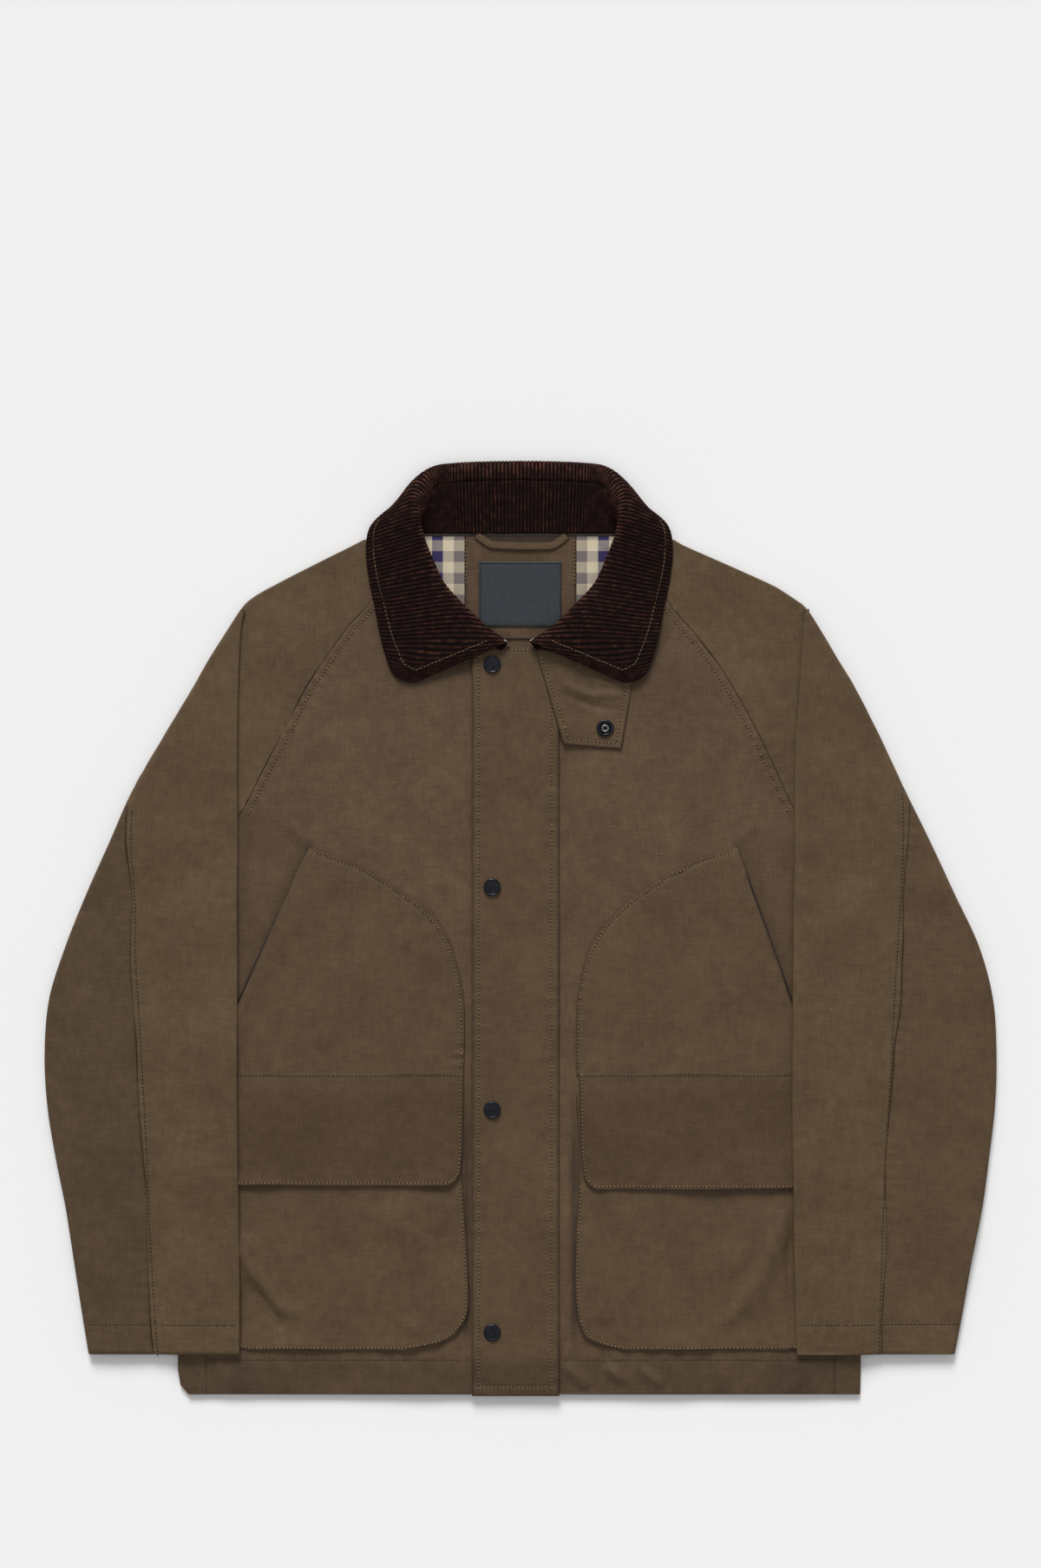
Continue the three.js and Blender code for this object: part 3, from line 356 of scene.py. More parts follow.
# Painted shade: needle holes and pocket slots are dark lenses and bars.
hole_shade = plain_weave("needle_hole_shaded", "#15100b", "#2a2018", 1.0)
dark_thread = plain_weave("cotton_thread_slate_plied", "#141a20", "#232c34", 0.8)
pale_thread = plain_weave("cotton_thread_ecru_plied", "#b9b0a2", "#e6dfd2", 0.8)
stud_metal = gunmetal("brass_plated_gunmetal_satin", "#0c0d12", "#2b2c37")
eyelet_metal = gunmetal("brass_plated_nickel_satin", "#6a6862", "#a5a29a")
print("materials:", len(bpy.data.materials))

# %% [markdown]
# The stage is a plain pale floor just below the jacket. One broad lamp far above the top of the picture
# gives even light over all of it, so folds shade downwards, and a pale sky fills the rest.

# %% Stage and light
FLOOR_SIZE = 12.0
FLOOR_DROP = 0.9 * MM
KEY_DIRECTION = (-0.12, 1.0, 0.58)
KEY_SOFTNESS = math.radians(24)
KEY_POWER = 3.2
SKY_STRENGTH = 0.5

bpy.ops.mesh.primitive_plane_add(size=FLOOR_SIZE, location=(0, 0, -FLOOR_DROP))
floor = bpy.context.object
floor.name = "floor"
floor_paint, floor_shader = new_material("matt_paper_backdrop")
floor_shader.inputs["Base Color"].default_value = colour("#efefef")
floor_shader.inputs["Roughness"].default_value = 1.0
floor_shader.inputs["Specular IOR Level"].default_value = 0.0
floor.data.materials.append(floor_paint)

key_data = bpy.data.lights.new("key", "SUN")
key_data.angle = KEY_SOFTNESS
key_data.energy = KEY_POWER
key = bpy.data.objects.new("key", key_data)
key.rotation_euler = Vector(KEY_DIRECTION).to_track_quat("Z", "Y").to_euler()
bpy.context.scene.collection.objects.link(key)

sky = bpy.data.worlds.new("sky")
sky.use_nodes = True
sky.node_tree.nodes["Background"].inputs["Color"].default_value = (1, 1, 1, 1)
sky.node_tree.nodes["Background"].inputs["Strength"].default_value = SKY_STRENGTH
bpy.context.scene.world = sky

# %% [markdown]
# Relief is a height in millimetres over the plan. A crease is a soft ridge or trough along a line, a
# pucker a row of small ripples that a seam draws in, a groove the trough that a stitch line pulls, and
# a swell the low unevenness of cloth that has been worn and folded.

# %% Creases, puckers, grooves and swells
def to_path(xs, ys, path):
    nearest = np.full(xs.shape, 1e9)
    reach = np.zeros(xs.shape)
    done = 0.0
    for (x0, y0), (x1, y1) in zip(path, path[1:]):
        length = math.hypot(x1 - x0, y1 - y0)
        t = np.clip(((xs - x0) * (x1 - x0) + (ys - y0) * (y1 - y0)) / length**2, 0, 1)
        gap = np.hypot(xs - x0 - t * (x1 - x0), ys - y0 - t * (y1 - y0))
        closer = gap < nearest
        nearest = np.where(closer, gap, nearest)
        reach = np.where(closer, done + t * length, reach)
        done += length
    return nearest, reach, done


def dense(path, step):
    line = np.array(path, float)
    reach = np.concatenate([[0], np.cumsum(np.hypot(*np.diff(line, axis=0).T))])
    s = np.arange(step / 2, reach[-1], step)
    return np.stack([np.interp(s, reach, line[:, k]) for k in (0, 1)], 1)


def crease(xs, ys, path, width, height):
    gap, reach, length = to_path(xs, ys, path)
    taper = np.sin(np.pi * np.clip(reach / length, 0, 1)) ** 0.6
    return height * taper * np.exp(-((gap / width) ** 2))


def creases(xs, ys, rows):
    return sum((crease(xs, ys, path, width, height) for path, width, height in rows), np.zeros(xs.shape))


def pucker(xs, ys, path, pitch=9.0, height=0.25, spread=8.0, seed=0.0):
    gap, reach, length = to_path(xs, ys, path)
    wander = np.sin(reach / (pitch * 3.7) + seed) * 1.9 + np.sin(reach / (pitch * 1.9) + 2 * seed)
    strength = 0.55 + 0.45 * np.sin(reach / (pitch * 2.3) + 3 * seed)
    ripple = np.sin(2 * np.pi * reach / pitch + wander)
    return height * strength * ripple * np.exp(-((gap / spread) ** 2))


def groove(xs, ys, path, depth=0.35, width=1.4):
    gap, reach, length = to_path(xs, ys, path)
    return -depth * np.exp(-((gap / width) ** 2))


def swell(xs, ys, size, height, seed):
    flat = [noise.noise(Vector((x / size + seed, y / size, seed))) for x, y in zip(xs.ravel(), ys.ravel())]
    return height * np.array(flat).reshape(xs.shape)


# %% [markdown]
# Each cloth piece is a shell about a grid of points: two skins half a thickness to either side, which
# meet at a shared rim. The outermost rows and columns lie close together, so the turned edge rounds
# over instead of ending in a step. The grid's own size is also the size of the piece when it was cut.
# An attribute tells the material where the colour is darkened as painted shade: at its rim, and wherever
# shadow falls on it.

# %% A shell of cloth
RIM = [0.0, 0.12, 0.4, 0.9]
EDGE_SHADE = 1.5
FOOT_ROWS = 24
FOOT_STEP = 0.9
CUT = {}


def spaced(length, step):
    inner = np.linspace(RIM[-1], length - RIM[-1], max(int(length / step), 2))
    return np.concatenate([RIM[:-1], inner, [length - r for r in RIM[:-1]][::-1]])


def lengths(points, axis):
    return np.linalg.norm(np.diff(points, axis=axis), axis=2).sum(axis=axis)


def shell(name, middle, normal, wall, relief, material, node, dark=0.0, rim_shade=1.0):
    across = np.linalg.norm(np.diff(middle, axis=1), axis=2)
    down = np.linalg.norm(np.diff(middle, axis=0), axis=2)
    from_left = np.pad(np.cumsum(across, 1), ((0, 0), (1, 0)))
    from_top = np.pad(np.cumsum(down, 0), ((1, 0), (0, 0)))
    to_side = np.minimum(from_left, from_left[:, -1:] - from_left)
    to_end = np.minimum(from_top, from_top[-1:, :] - from_top)
    inside = np.clip(np.minimum(to_side, to_end) / (wall / 2 + 0.15), 0, 1)
    half = wall / 2 * np.sqrt(1 - (1 - inside) ** 2)
    # Painted shade along the rim, for the shadow at edges and seams.
    edge = rim_shade * np.clip(1 - np.minimum(to_side, to_end) / EDGE_SHADE, 0, 1)
    painted_shade = np.maximum(edge, dark)
    lift = relief * inside
    outer = middle + normal * (half + lift)[..., None]
    inner = middle - normal * half[..., None] + normal * np.maximum(lift, 0)[..., None] * 0.6
    rows, columns = inside.shape
    points = np.concatenate([outer.reshape(-1, 3), inner.reshape(-1, 3)]) * MM
    top = np.arange(rows * columns).reshape(rows, columns)
    under = top + rows * columns
    for rim in ((0, slice(None)), (-1, slice(None)), (slice(None), 0), (slice(None), -1)):
        under[rim] = top[rim]
    a, b, c, d = top[:-1, :-1], top[1:, :-1], top[1:, 1:], top[:-1, 1:]
    faces = [np.stack([a, b, c, d], 2).reshape(-1, 4)]
    a, b, c, d = under[:-1, :-1], under[:-1, 1:], under[1:, 1:], under[1:, :-1]
    faces.append(np.stack([a, b, c, d], 2).reshape(-1, 4))
    faces = np.concatenate(faces)
    used, faces = np.unique(faces, return_inverse=True)
    faces = faces.reshape(-1, 4)
    sides = np.cross(points[used][faces[:, 1]] - points[used][faces[:, 0]],
                     points[used][faces[:, 2]] - points[used][faces[:, 0]])
    centre = points[used][faces].mean(1)
    if (sides * centre).sum() < 0:
        faces = faces[:, ::-1]
    mesh = bpy.data.meshes.new(name)
    mesh.from_pydata(points[used].tolist(), [], faces.tolist())
    mesh.update()
    mesh.polygons.foreach_set("use_smooth", [True] * len(mesh.polygons))
    thing = bpy.data.objects.new(name, mesh)
    bpy.context.scene.collection.objects.link(thing)
    thing.data.materials.append(material)
    shade_channel = mesh.attributes.new("painted_shade", "FLOAT", "POINT")
    shade_channel.data.foreach_set("value", np.tile(painted_shade.ravel(), 2)[used].astype(np.float32))
    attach(thing, "root")
    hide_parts(node)
    cell = np.cross(middle[1:, :-1] - middle[:-1, :-1], middle[:-1, 1:] - middle[:-1, :-1])
    area = float(np.linalg.norm(cell, axis=2).sum()) * MM * MM
    width = float(lengths(middle, 1).max()) * MM
    length = float(lengths(middle, 0).max()) * MM
    CUT[name] = (width, length, area)
    print(name, "faces", len(faces), "cut", round(width, 3), "x", round(length, 3))
    return thing, used


# %% [markdown]
# A flat piece is read from its node: how far it reaches at each height, and how high it lies. The
# fronts, the pockets, the storm flap and all that lies inside the neck are made like this.

# %% A flat panel read from its node
def node_points(node):
    thing = frame["nodes"][node]
    return np.array([thing.matrix_world @ v.co for v in thing.data.vertices]) / MM


def node_edges(node):
    rows = {}
    for x, y, z in node_points(node):
        rows.setdefault(round(float(y), 1), []).append(float(x))
    return [(y, min(xs), max(xs)) for y, xs in sorted(rows.items()) if max(xs) - min(xs) > 0.5]


def node_tree(node):
    mesh = bmesh.new()
    mesh.from_mesh(frame["nodes"][node].data)
    tree = BVHTree.FromBMesh(mesh)
    mesh.free()
    return tree


def heights(tree, xs, ys):
    down = Vector((0, 0, -1))
    found = []
    for x, y in zip(xs.ravel() * MM, ys.ravel() * MM):
        hit = tree.ray_cast(Vector((x, y, 1.0)), down)[0]
        found.append(np.nan if hit is None else hit.z / MM)
    found = np.array(found).reshape(xs.shape)
    for row in found:
        known = np.flatnonzero(~np.isnan(row))
        if len(known):
            row[:] = np.interp(np.arange(len(row)), known, row[known])
    filled = np.flatnonzero(~np.isnan(found[:, 0]))
    nearest = np.abs(np.arange(len(found))[:, None] - filled[None, :]).argmin(1)
    return found[filled[nearest]]


def grid_between(starts, ends, step):
    widths = np.linalg.norm(ends - starts, axis=1)
    columns = spaced(float(widths.max()), step) / float(widths.max())
    return starts[:, None, :] + (ends - starts)[:, None, :] * columns[None, :, None]


def no_bend(xs, ys):
    return np.zeros(xs.shape)


def flat_panel(name, node, relief, step=3.0, wall=1.5, material=None,
               corners=None, bend=no_bend, edges=None, dark=no_bend, rim_shade=1.0):
    if corners is None:
        edges = edges or node_edges(node)
        ys = edges[-1][0] - spaced(edges[-1][0] - edges[0][0], step)
        foot = edges[0][0] + RIM[-1] + FOOT_STEP * np.arange(1, FOOT_ROWS)
        ys = np.concatenate([ys[ys > foot[-1] + FOOT_STEP / 2], foot[::-1], ys[-len(RIM):]])
        starts = np.stack([along(edges, LEFT, ys), ys], 1)
        ends = np.stack([along(edges, RIGHT, ys), ys], 1)
    else:
        top_left, top_right, bottom_left, bottom_right = (np.array(c, float) for c in corners)
        length = float(np.linalg.norm(top_left - bottom_left))
        part = (spaced(length, step) / length)[:, None]
        starts = top_left + (bottom_left - top_left) * part
        ends = top_right + (bottom_right - top_right) * part
    plan = grid_between(starts, ends, step)
    xs, ys = plan[..., 0], plan[..., 1]
    centre = plan.reshape(-1, 2).mean(0)
    shrink = 0.003
    surface = heights(node_tree(node), lerp(xs, centre[0], shrink), lerp(ys, centre[1], shrink))
    middle = np.stack([xs, ys, surface - wall / 2 + bend(xs, ys)], 2)
    normal = np.zeros(middle.shape)
    normal[..., 2] = 1
    return shell(name, middle, normal, wall, relief(xs, ys), material or body_cloth, node,
                 dark(xs, ys), rim_shade)[0]


# %% [markdown]
# The two fronts lie on the back. Their seams to the sleeves run from the neck to the underarm and draw
# the cloth into small puckers, and the hem is stitched 30 mm above its edge and waves a little. Each
# side of the wearer has its own seam lines, in millimetres on the plan, because no two are alike.

# %% Fronts
RAGLAN_L = [(-113, 310), (-130, 282), (-147, 264), (-165, 239), (-185, 210), (-203, 174), (-221, 141),
            (-240, 103)]
RAGLAN_R = [(111, 310), (128, 282), (143, 264), (164, 239), (183, 210), (203, 174), (219, 141),
            (237, 103)]
MOUTH_L = [(-182, 71), (-243, -63), (-264, -108)]
MOUTH_R = [(186, 71), (234, -63), (257, -108)]
HEM_STITCH_Y = -371
SEAM_GAP = 0.45
WRINKLE_RISE = 0.9
BAND_HEIGHT = 0.45
BAND_WIDTH = 6.0
RIGHT_FRONT_CREASES = [
    ([(-190, 190), (-150, 150), (-120, 90)], 16, 0.5),
    ([(-215, 120), (-190, 60), (-160, 20)], 14, 0.45),
    ([(-90, 200), (-70, 120), (-66, 40)], 18, -0.35),
    ([(-198, 93), (-182, 72)], 4, 0.7),
    ([(-206, 84), (-187, 66)], 3, -0.5),
    ([(-262, -372), (-246, -398)], 6, 0.9),
    ([(-205, -374), (-198, -399)], 5, 0.8),
    ([(-150, -376), (-160, -400)], 6, -0.8),
]
LEFT_FRONT_CREASES = [
    ([(60, 150), (110, 100), (150, 60)], 16, 0.5),
    ([(190, 190), (160, 140), (150, 90)], 14, 0.45),
    ([(200, 92), (187, 72)], 4, 0.6),
    ([(40, -374), (58, -396)], 5, 2.0),
    ([(72, -376), (92, -392)], 5, 1.9),
    ([(104, -378), (122, -394)], 5, 1.6),
    ([(180, -374), (172, -400)], 6, 0.8),
    ([(246, -372), (236, -399)], 6, 0.8),
]


def beside_raglan(raglan):
    shift = 5.5 if raglan[0][0] < 0 else -5.5
    return [(x + shift * 0.85, y - 5.5 * 0.5) for x, y in raglan]


def away(xs, ys, path):
    return np.clip(to_path(xs, ys, path)[0] / 25, 0, 1)


def seam_wrinkles(raglan):
    inward = 1 if raglan[0][0] < 0 else -1
    rows = []
    for number, (x, y) in enumerate(dense(raglan, 8.5)):
        reach = 7 + 3 * math.sin(number * 2.4)
        share = 0.25 + 0.75 * smoothstep(230, 150, y)
        rows.append(([(x, y), (x + inward * reach, y + 0.35 * reach)], 2.2, float(share)))
    return rows


def front_relief(raglan, rows, seed):
    def relief(xs, ys):
        hem = [(xs.min(), HEM_STITCH_Y), (xs.max(), HEM_STITCH_Y)]
        return (
            (swell(xs, ys, 95, 2.0, seed) + swell(xs, ys, 34, 0.6, seed + 5)) * away(xs, ys, raglan)
            + creases(xs, ys, rows) * 1.8
            + creases(xs, ys, seam_wrinkles(raglan)) * WRINKLE_RISE
            + pucker(xs, ys, raglan, 11, 0.4, 12, seed)
            + groove(xs, ys, beside_raglan(raglan), 0.3)
            + groove(xs, ys, hem, 0.3)
            + pucker(xs, ys, hem, 21, 0.9, 14, seed)
        )
    return relief


def seam_band(seam):
    def bend(xs, ys):
        return BAND_HEIGHT * (1 - smoothstep(BAND_WIDTH - 1, BAND_WIDTH + 1.5, to_path(xs, ys, seam)[0]))
    return bend


# %% [markdown]
# Painted shade darkens the front where shadow falls on it: outside the pocket mouth, beside the sleeve
# fold, in the gap beside the storm flap and at the foot of the collar.

# %% Painted shade on the fronts
FRONT_RIM_SHADE = 0.4
COLLAR_FOOT = [(125, 273), (121, 253), (115, 235), (109, 220), (101, 214), (92, 211), (82, 213),
               (70, 218), (44, 230)]
COLLAR_SHADE = 0.5
MOUTH_SHADE = 0.55
FOLD_SHADE = 0.3
FOLD_X = 240
STRIP_SHADE = 0.8
STRIP_X = 46.5


def front_painted_shade(mouth):
    def dark(xs, ys):
        gap = to_path(xs, ys, mouth)[0]
        inner = np.abs(xs) < np.interp(-ys, [-y for x, y in mouth], [abs(x) for x, y in mouth]) - 2
        # Painted shadow beside the mouth, the sleeve fold, the storm flap strip and the collar foot.
        mouth_dark = np.where(inner, 0, MOUTH_SHADE * np.exp(-gap / 9))
        fold_dark = FOLD_SHADE * np.exp(-np.abs(np.abs(xs) - FOLD_X) / 14) * smoothstep(240, 120, ys)
        strip = smoothstep(-120, -200, ys) * smoothstep(-366, -336, ys)
        strip_dark = STRIP_SHADE * strip * np.exp(-(((np.abs(xs) - STRIP_X) / 3.2) ** 2))
        collar_dark = COLLAR_SHADE * np.exp(-to_path(np.abs(xs), ys, COLLAR_FOOT)[0] / 6)
        return np.maximum.reduce([mouth_dark, fold_dark, strip_dark, collar_dark])
    return dark


right_edges = [(y, left - SEAM_GAP, right) for y, left, right in node_edges("front_right")]
left_edges = [(y, left, right + SEAM_GAP) for y, left, right in node_edges("front_left")]
flat_panel("front_right_cloth", "front_right", front_relief(RAGLAN_L, RIGHT_FRONT_CREASES, 1.0), 2.8,
           bend=seam_band(RAGLAN_L), edges=right_edges, dark=front_painted_shade(MOUTH_L), rim_shade=FRONT_RIM_SHADE)
flat_panel("front_left_cloth", "front_left", front_relief(RAGLAN_R, LEFT_FRONT_CREASES, 2.0), 2.8,
           bend=seam_band(RAGLAN_R), edges=left_edges, dark=front_painted_shade(MOUTH_R), rim_shade=FRONT_RIM_SHADE)

# %% [markdown]
# The back panel goes under everything and turns forward round the side folds. So little of it shows
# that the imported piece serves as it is: a copy, merged and smoothed. One corner of its hem is cut across
# and pulled out a little, which rounds it.

# %% Back
BACK_SMOOTH_ANGLE = math.radians(50)
HEM_CORNER_Y = -393 * MM
HEM_CORNER_REACH = 280 * MM
HEM_CORNER_SHIFT = 3.4 * MM
back = frame["nodes"]["back"].copy()
back.data = back.data.copy()
back.name = "back_cloth"
bpy.context.scene.collection.objects.link(back)
bpy.ops.object.select_all(action="DESELECT")
back.select_set(True)
bpy.context.view_layer.objects.active = back
bpy.ops.object.mode_set(mode="EDIT")
bpy.ops.mesh.select_all(action="SELECT")
bpy.ops.mesh.remove_doubles(threshold=0.00001)
bpy.ops.mesh.tris_convert_to_quads()
bpy.ops.mesh.bisect(plane_co=(0, HEM_CORNER_Y, 0), plane_no=(0, 1, 0))
back_mesh = bmesh.from_edit_mesh(back.data)
for vert in back_mesh.verts:
    vert.select_set(vert.select and vert.co.x < -HEM_CORNER_REACH)
bmesh.update_edit_mesh(back.data)
bpy.ops.transform.translate(value=(-HEM_CORNER_SHIFT, 0, 0))
bpy.ops.object.mode_set(mode="OBJECT")
bpy.ops.object.shade_smooth_by_angle(angle=BACK_SMOOTH_ANGLE)
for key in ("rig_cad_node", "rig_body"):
    if key in back:
        del back[key]
back.data.materials.clear()
back.data.materials.append(body_cloth)
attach(back, "root")
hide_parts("back")
CUT["back_cloth"] = (0.634, 0.742, 0.392)
print("back faces:", len(back.data.polygons))

# %% [markdown]
# A sleeve is a flattened tube. Each row of it follows the cloth round: from the outer seam over the top,
# round the inner fold and back underneath, and on the other side round the outline and along the floor.
# These rows tell how wide the tube is at each height, where its seam runs and how high it lies.

# %% Sleeve tables
OUTLINE = [
    (345, 129, 126), (337, 136, 133), (333, 143, 139), (321, 167, 166), (309, 191, 193),
    (297, 214, 219), (291, 225, 229), (285, 234, 238), (279, 240, 246), (256, 255, 261),
    (234, 269, 274), (211, 282, 288), (166, 309, 311), (121, 335, 332), (76, 355, 354), (31, 375, 375),
    (-14, 393, 396), (-59, 407, 408), (-104, 411, 411), (-149, 409, 410), (-194, 402, 405),
    (-239, 393, 399), (-284, 386, 390), (-329, 379, 382), (-366, 373, 375),
]
INNER_FOLD = [
    (280, 237, 246), (262, 241, 244), (219, 243, 241), (153, 244, 237), (67, 244, 236),
    (-134, 244, 234), (-222, 243, 235), (-293, 242, 236), (-366, 242, 238),
]
HIDDEN_FOLD = [
    (280, 240, 249), (219, 251, 253), (153, 264, 266), (105, 274, 275), (42, 289, 289),
]
RAGLAN = [
    (341, 97, 95), (310, 113, 111), (282, 130, 128), (264, 147, 143), (239, 165, 164), (210, 185, 183),
    (174, 203, 203), (141, 221, 219), (103, 240, 237), (72, 262, 258), (42, 279, 278),
]
SLEEVE_SEAM = [
    (280, -8, -8), (160, -7, -6), (125, -4, -3.5), (105, 4, 5), (75, 16, 21), (32, 40, 45),
    (-25, 61, 71), (-63, 74, 81), (-111, 81, 90), (-204, 76, 90), (-276, 66, 77), (-339, 59, 69),
    (-366, 57, 64),
]
SLEEVE_LIFT = [
    (60, 5.2), (0, 5.6), (-60, 6.0), (-110, 7.4), (-135, 8.0), (-210, 8.0), (-245, 6.8), (-366, 6.4),
]

CLOTH = 1.5
LAYER = 1.8
FOLD_RADIUS = LAYER / 2
INSIDE_GAP = 5.0
SHOULDER_CLEARANCE = 0.2
UNDER_SEAM_REACH = 312
SHOULDER_POINT_Y = 255
CUFF_Y = -366
SLEEVE_RIM_SHADE = 0.25
SIDES = {"right": (-1, LEFT), "left": (1, RIGHT)}


def sleeve_under(x, y):
    on_body = along(SLEEVE_LIFT, 1, y) * smoothstep(317, 291, x)
    on_shoulder = 2 * LAYER + SHOULDER_CLEARANCE
    return lerp(on_body, on_shoulder, smoothstep(18, 60, y)) + CLOTH / 2


def sleeve_top(x, y):
    under = sleeve_under(x, y)
    share = np.minimum((under - CLOTH / 2) / along(SLEEVE_LIFT, 1, y), 1)
    below = under + lerp(INSIDE_GAP, LAYER, share)
    above = 3 * LAYER + SHOULDER_CLEARANCE + CLOTH / 2
    return lerp(below, above, smoothstep(18, 60, y))


# %% [markdown]
# The same row as a function of the distance along the cloth, counted from the outline and positive on
# top. It gives the place across the jacket, the height, and the direction in which the cloth faces.

# %% One row of a sleeve
def sleeve_row(y, column):
    outline = float(along(OUTLINE, column, y))
    fold_x = float(along(INNER_FOLD, column, y)) + CLOTH / 2 + FOLD_RADIUS
    turn = (float(sleeve_top(outline - 4, y)) - CLOTH / 2) / 2
    turn_x = outline - CLOTH / 2 - turn
    half_arc = math.pi * turn / 2
    high, low = float(sleeve_top(fold_x, y)), float(sleeve_under(fold_x, y))
    radius = (high - low) / 2
    top = half_arc + turn_x - fold_x
    return {"y": y, "turn": turn, "turn_x": turn_x, "half": half_arc, "fold_x": fold_x, "top": top,
            "centre": (high + low) / 2, "radius": radius, "under": top + math.pi * radius}


def facing(height, x, y):
    slope = (height(x + 2, y) - height(x - 2, y)) / 4
    size = np.hypot(1, slope)
    return -slope / size, 1 / size


def sleeve_points(row, s):
    y = row["y"]
    turned = np.clip(s, -row["half"], row["half"]) / row["turn"]
    outer = (row["turn_x"] + row["turn"] * np.cos(turned), CLOTH / 2 + row["turn"] * (1 + np.sin(turned)),
             np.cos(turned), np.sin(turned))
    flat = np.zeros(s.shape)
    floor = (row["turn_x"] + s + row["half"], flat + CLOTH / 2, flat, flat - 1)
    x = row["turn_x"] - (s - row["half"])
    top = (x, sleeve_top(x, y), *facing(sleeve_top, x, y))
    angle = np.clip((s - row["top"]) / row["radius"], 0, math.pi)
    fold = (row["fold_x"] - row["radius"] * np.sin(angle), row["centre"] + row["radius"] * np.cos(angle),
            -np.sin(angle), np.cos(angle))
    x = row["fold_x"] + s - row["under"]
    nx, nz = facing(sleeve_under, x, y)
    under = (x, sleeve_under(x, y), -nx, -nz)
    places = [s < -row["half"], s <= row["half"], s <= row["top"], s <= row["under"]]
    return [np.select(places, choices[:-1], choices[-1])
            for choices in zip(floor, outer, top, fold, under)]


def with_rims(parts):
    start, end = parts[0][0], parts[-1][-1]
    way = 1 if end > start else -1
    inner = np.concatenate([parts[0]] + [part[1:] for part in parts[1:]])
    inner = np.clip(inner, min(start, end) + RIM[-1], max(start, end) - RIM[-1])
    first = [start + way * r for r in RIM[:-1]]
    last = [end - way * r for r in RIM[:-1]][::-1]
    return np.concatenate([first, inner, last])


def rows_down(top, bottom, step=3.2):
    return top - spaced(top - bottom, step)


def sleeve_shell(name, node, sign, rows, relief, material):
    middle = np.array([np.stack([sign * x, np.full(x.shape, y), z], 1) for y, (x, z, nx, nz) in rows])
    normal = np.array([np.stack([sign * nx, 0 * nx, nz], 1) for y, (x, z, nx, nz) in rows])
    if sign > 0:
        middle, normal = middle[:, ::-1], normal[:, ::-1]
    shown = smoothstep(0.3, 0.9, normal[..., 2])
    height = relief(middle[..., 0], middle[..., 1]) * shown
    return shell(name, middle, normal, CLOTH, height, material, node,
                 rim_shade=SLEEVE_RIM_SHADE)[0]


# %% [markdown]
# Front of each sleeve. Its seam with the back of the sleeve shows on top, where the cloth is stitched
# down beside it; small creases run in from the fold, and the cuff is stitched 25 mm above its edge.

# %% Sleeve fronts
SLEEVE_START_Y = 277
SEAM_L = [(-340, 105), (-341, 75), (-338, 32), (-337, -25), (-335, -63), (-332, -111), (-327, -204),
          (-324, -276), (-318, -366)]
SEAM_R = [(334, 120), (335, 103), (335, 70), (332, 13), (329, -35), (323, -144), (319, -212),
          (317, -276), (314, -365)]
CUFF_STITCH_Y = -340
SLEEVE_L_CREASES = [
    ([(-300, 30), (-258, -8)], 14, 0.6),
    ([(-308, -140), (-262, -182)], 12, 0.5),
    ([(-316, -236), (-268, -262)], 11, 0.5),
]
SLEEVE_R_CREASES = [
    ([(296, 20), (250, -14)], 14, 0.6),
    ([(306, -120), (258, -168)], 12, 0.5),
    ([(300, -250), (254, -276)], 11, 0.5),
]


def sleeve_relief(seam, rows, seed, band=0.0):
    def relief(xs, ys):
        cuff = [(xs.min(), CUFF_STITCH_Y), (xs.max(), CUFF_STITCH_Y)]
        return (
            swell(xs, ys, 75, 2.2, seed)
            + swell(xs, ys, 28, 0.6, seed + 3)
            + creases(xs, ys, rows) * 1.5
            + pucker(xs, ys, seam, 10, 0.45, 9, seed)
            + band * (1 - smoothstep(4.5, 6.5, to_path(xs, ys, seam)[0]))
            + groove(xs, ys, cuff, 0.35)
            + pucker(xs, ys, cuff, 8, 0.25, 6, seed)
        )
    return relief


def sleeve_front(wearer, seam_path, rows, seed):
    sign, column = SIDES[wearer]
    made = []
    for y in rows_down(SLEEVE_START_Y, CUFF_Y):
        row = sleeve_row(float(y), column)
        seam = float(along(SLEEVE_SEAM, column, y))
        hidden = float(along(HIDDEN_FOLD, column, y))
        end = lerp(UNDER_SEAM_REACH, hidden, float(smoothstep(18, 60, y)))
        reach = row["under"] + max(end - row["fold_x"], 2)
        parts = [np.linspace(seam, row["top"], 36), np.linspace(row["top"], row["under"], 8),
                 np.linspace(row["under"], reach, 14)]
        made.append((float(y), sleeve_points(row, with_rims(parts))))
    relief = sleeve_relief(seam_path, rows, seed, BAND_HEIGHT)
    return sleeve_shell(f"sleeve_{wearer}_front_cloth", f"sleeve_{wearer}_front", sign, made, relief,
                        sleeve_cloth)


sleeve_front("right", SEAM_L, SLEEVE_L_CREASES, 3.0)
sleeve_front("left", SEAM_R, SLEEVE_R_CREASES, 4.0)

# %% [markdown]
# Back of each sleeve: it starts at the seam on top, rolls round the outline and lies on the floor. From
# the shoulder point up there is no roll, and it is a flat piece that ends inside the shoulder.

# %% Sleeve backs
SHOULDER_TOP_Y = 337
UNDERARM_Y = 45


def wrap_under(y):
    return 8 * float(smoothstep(276, 290, y))


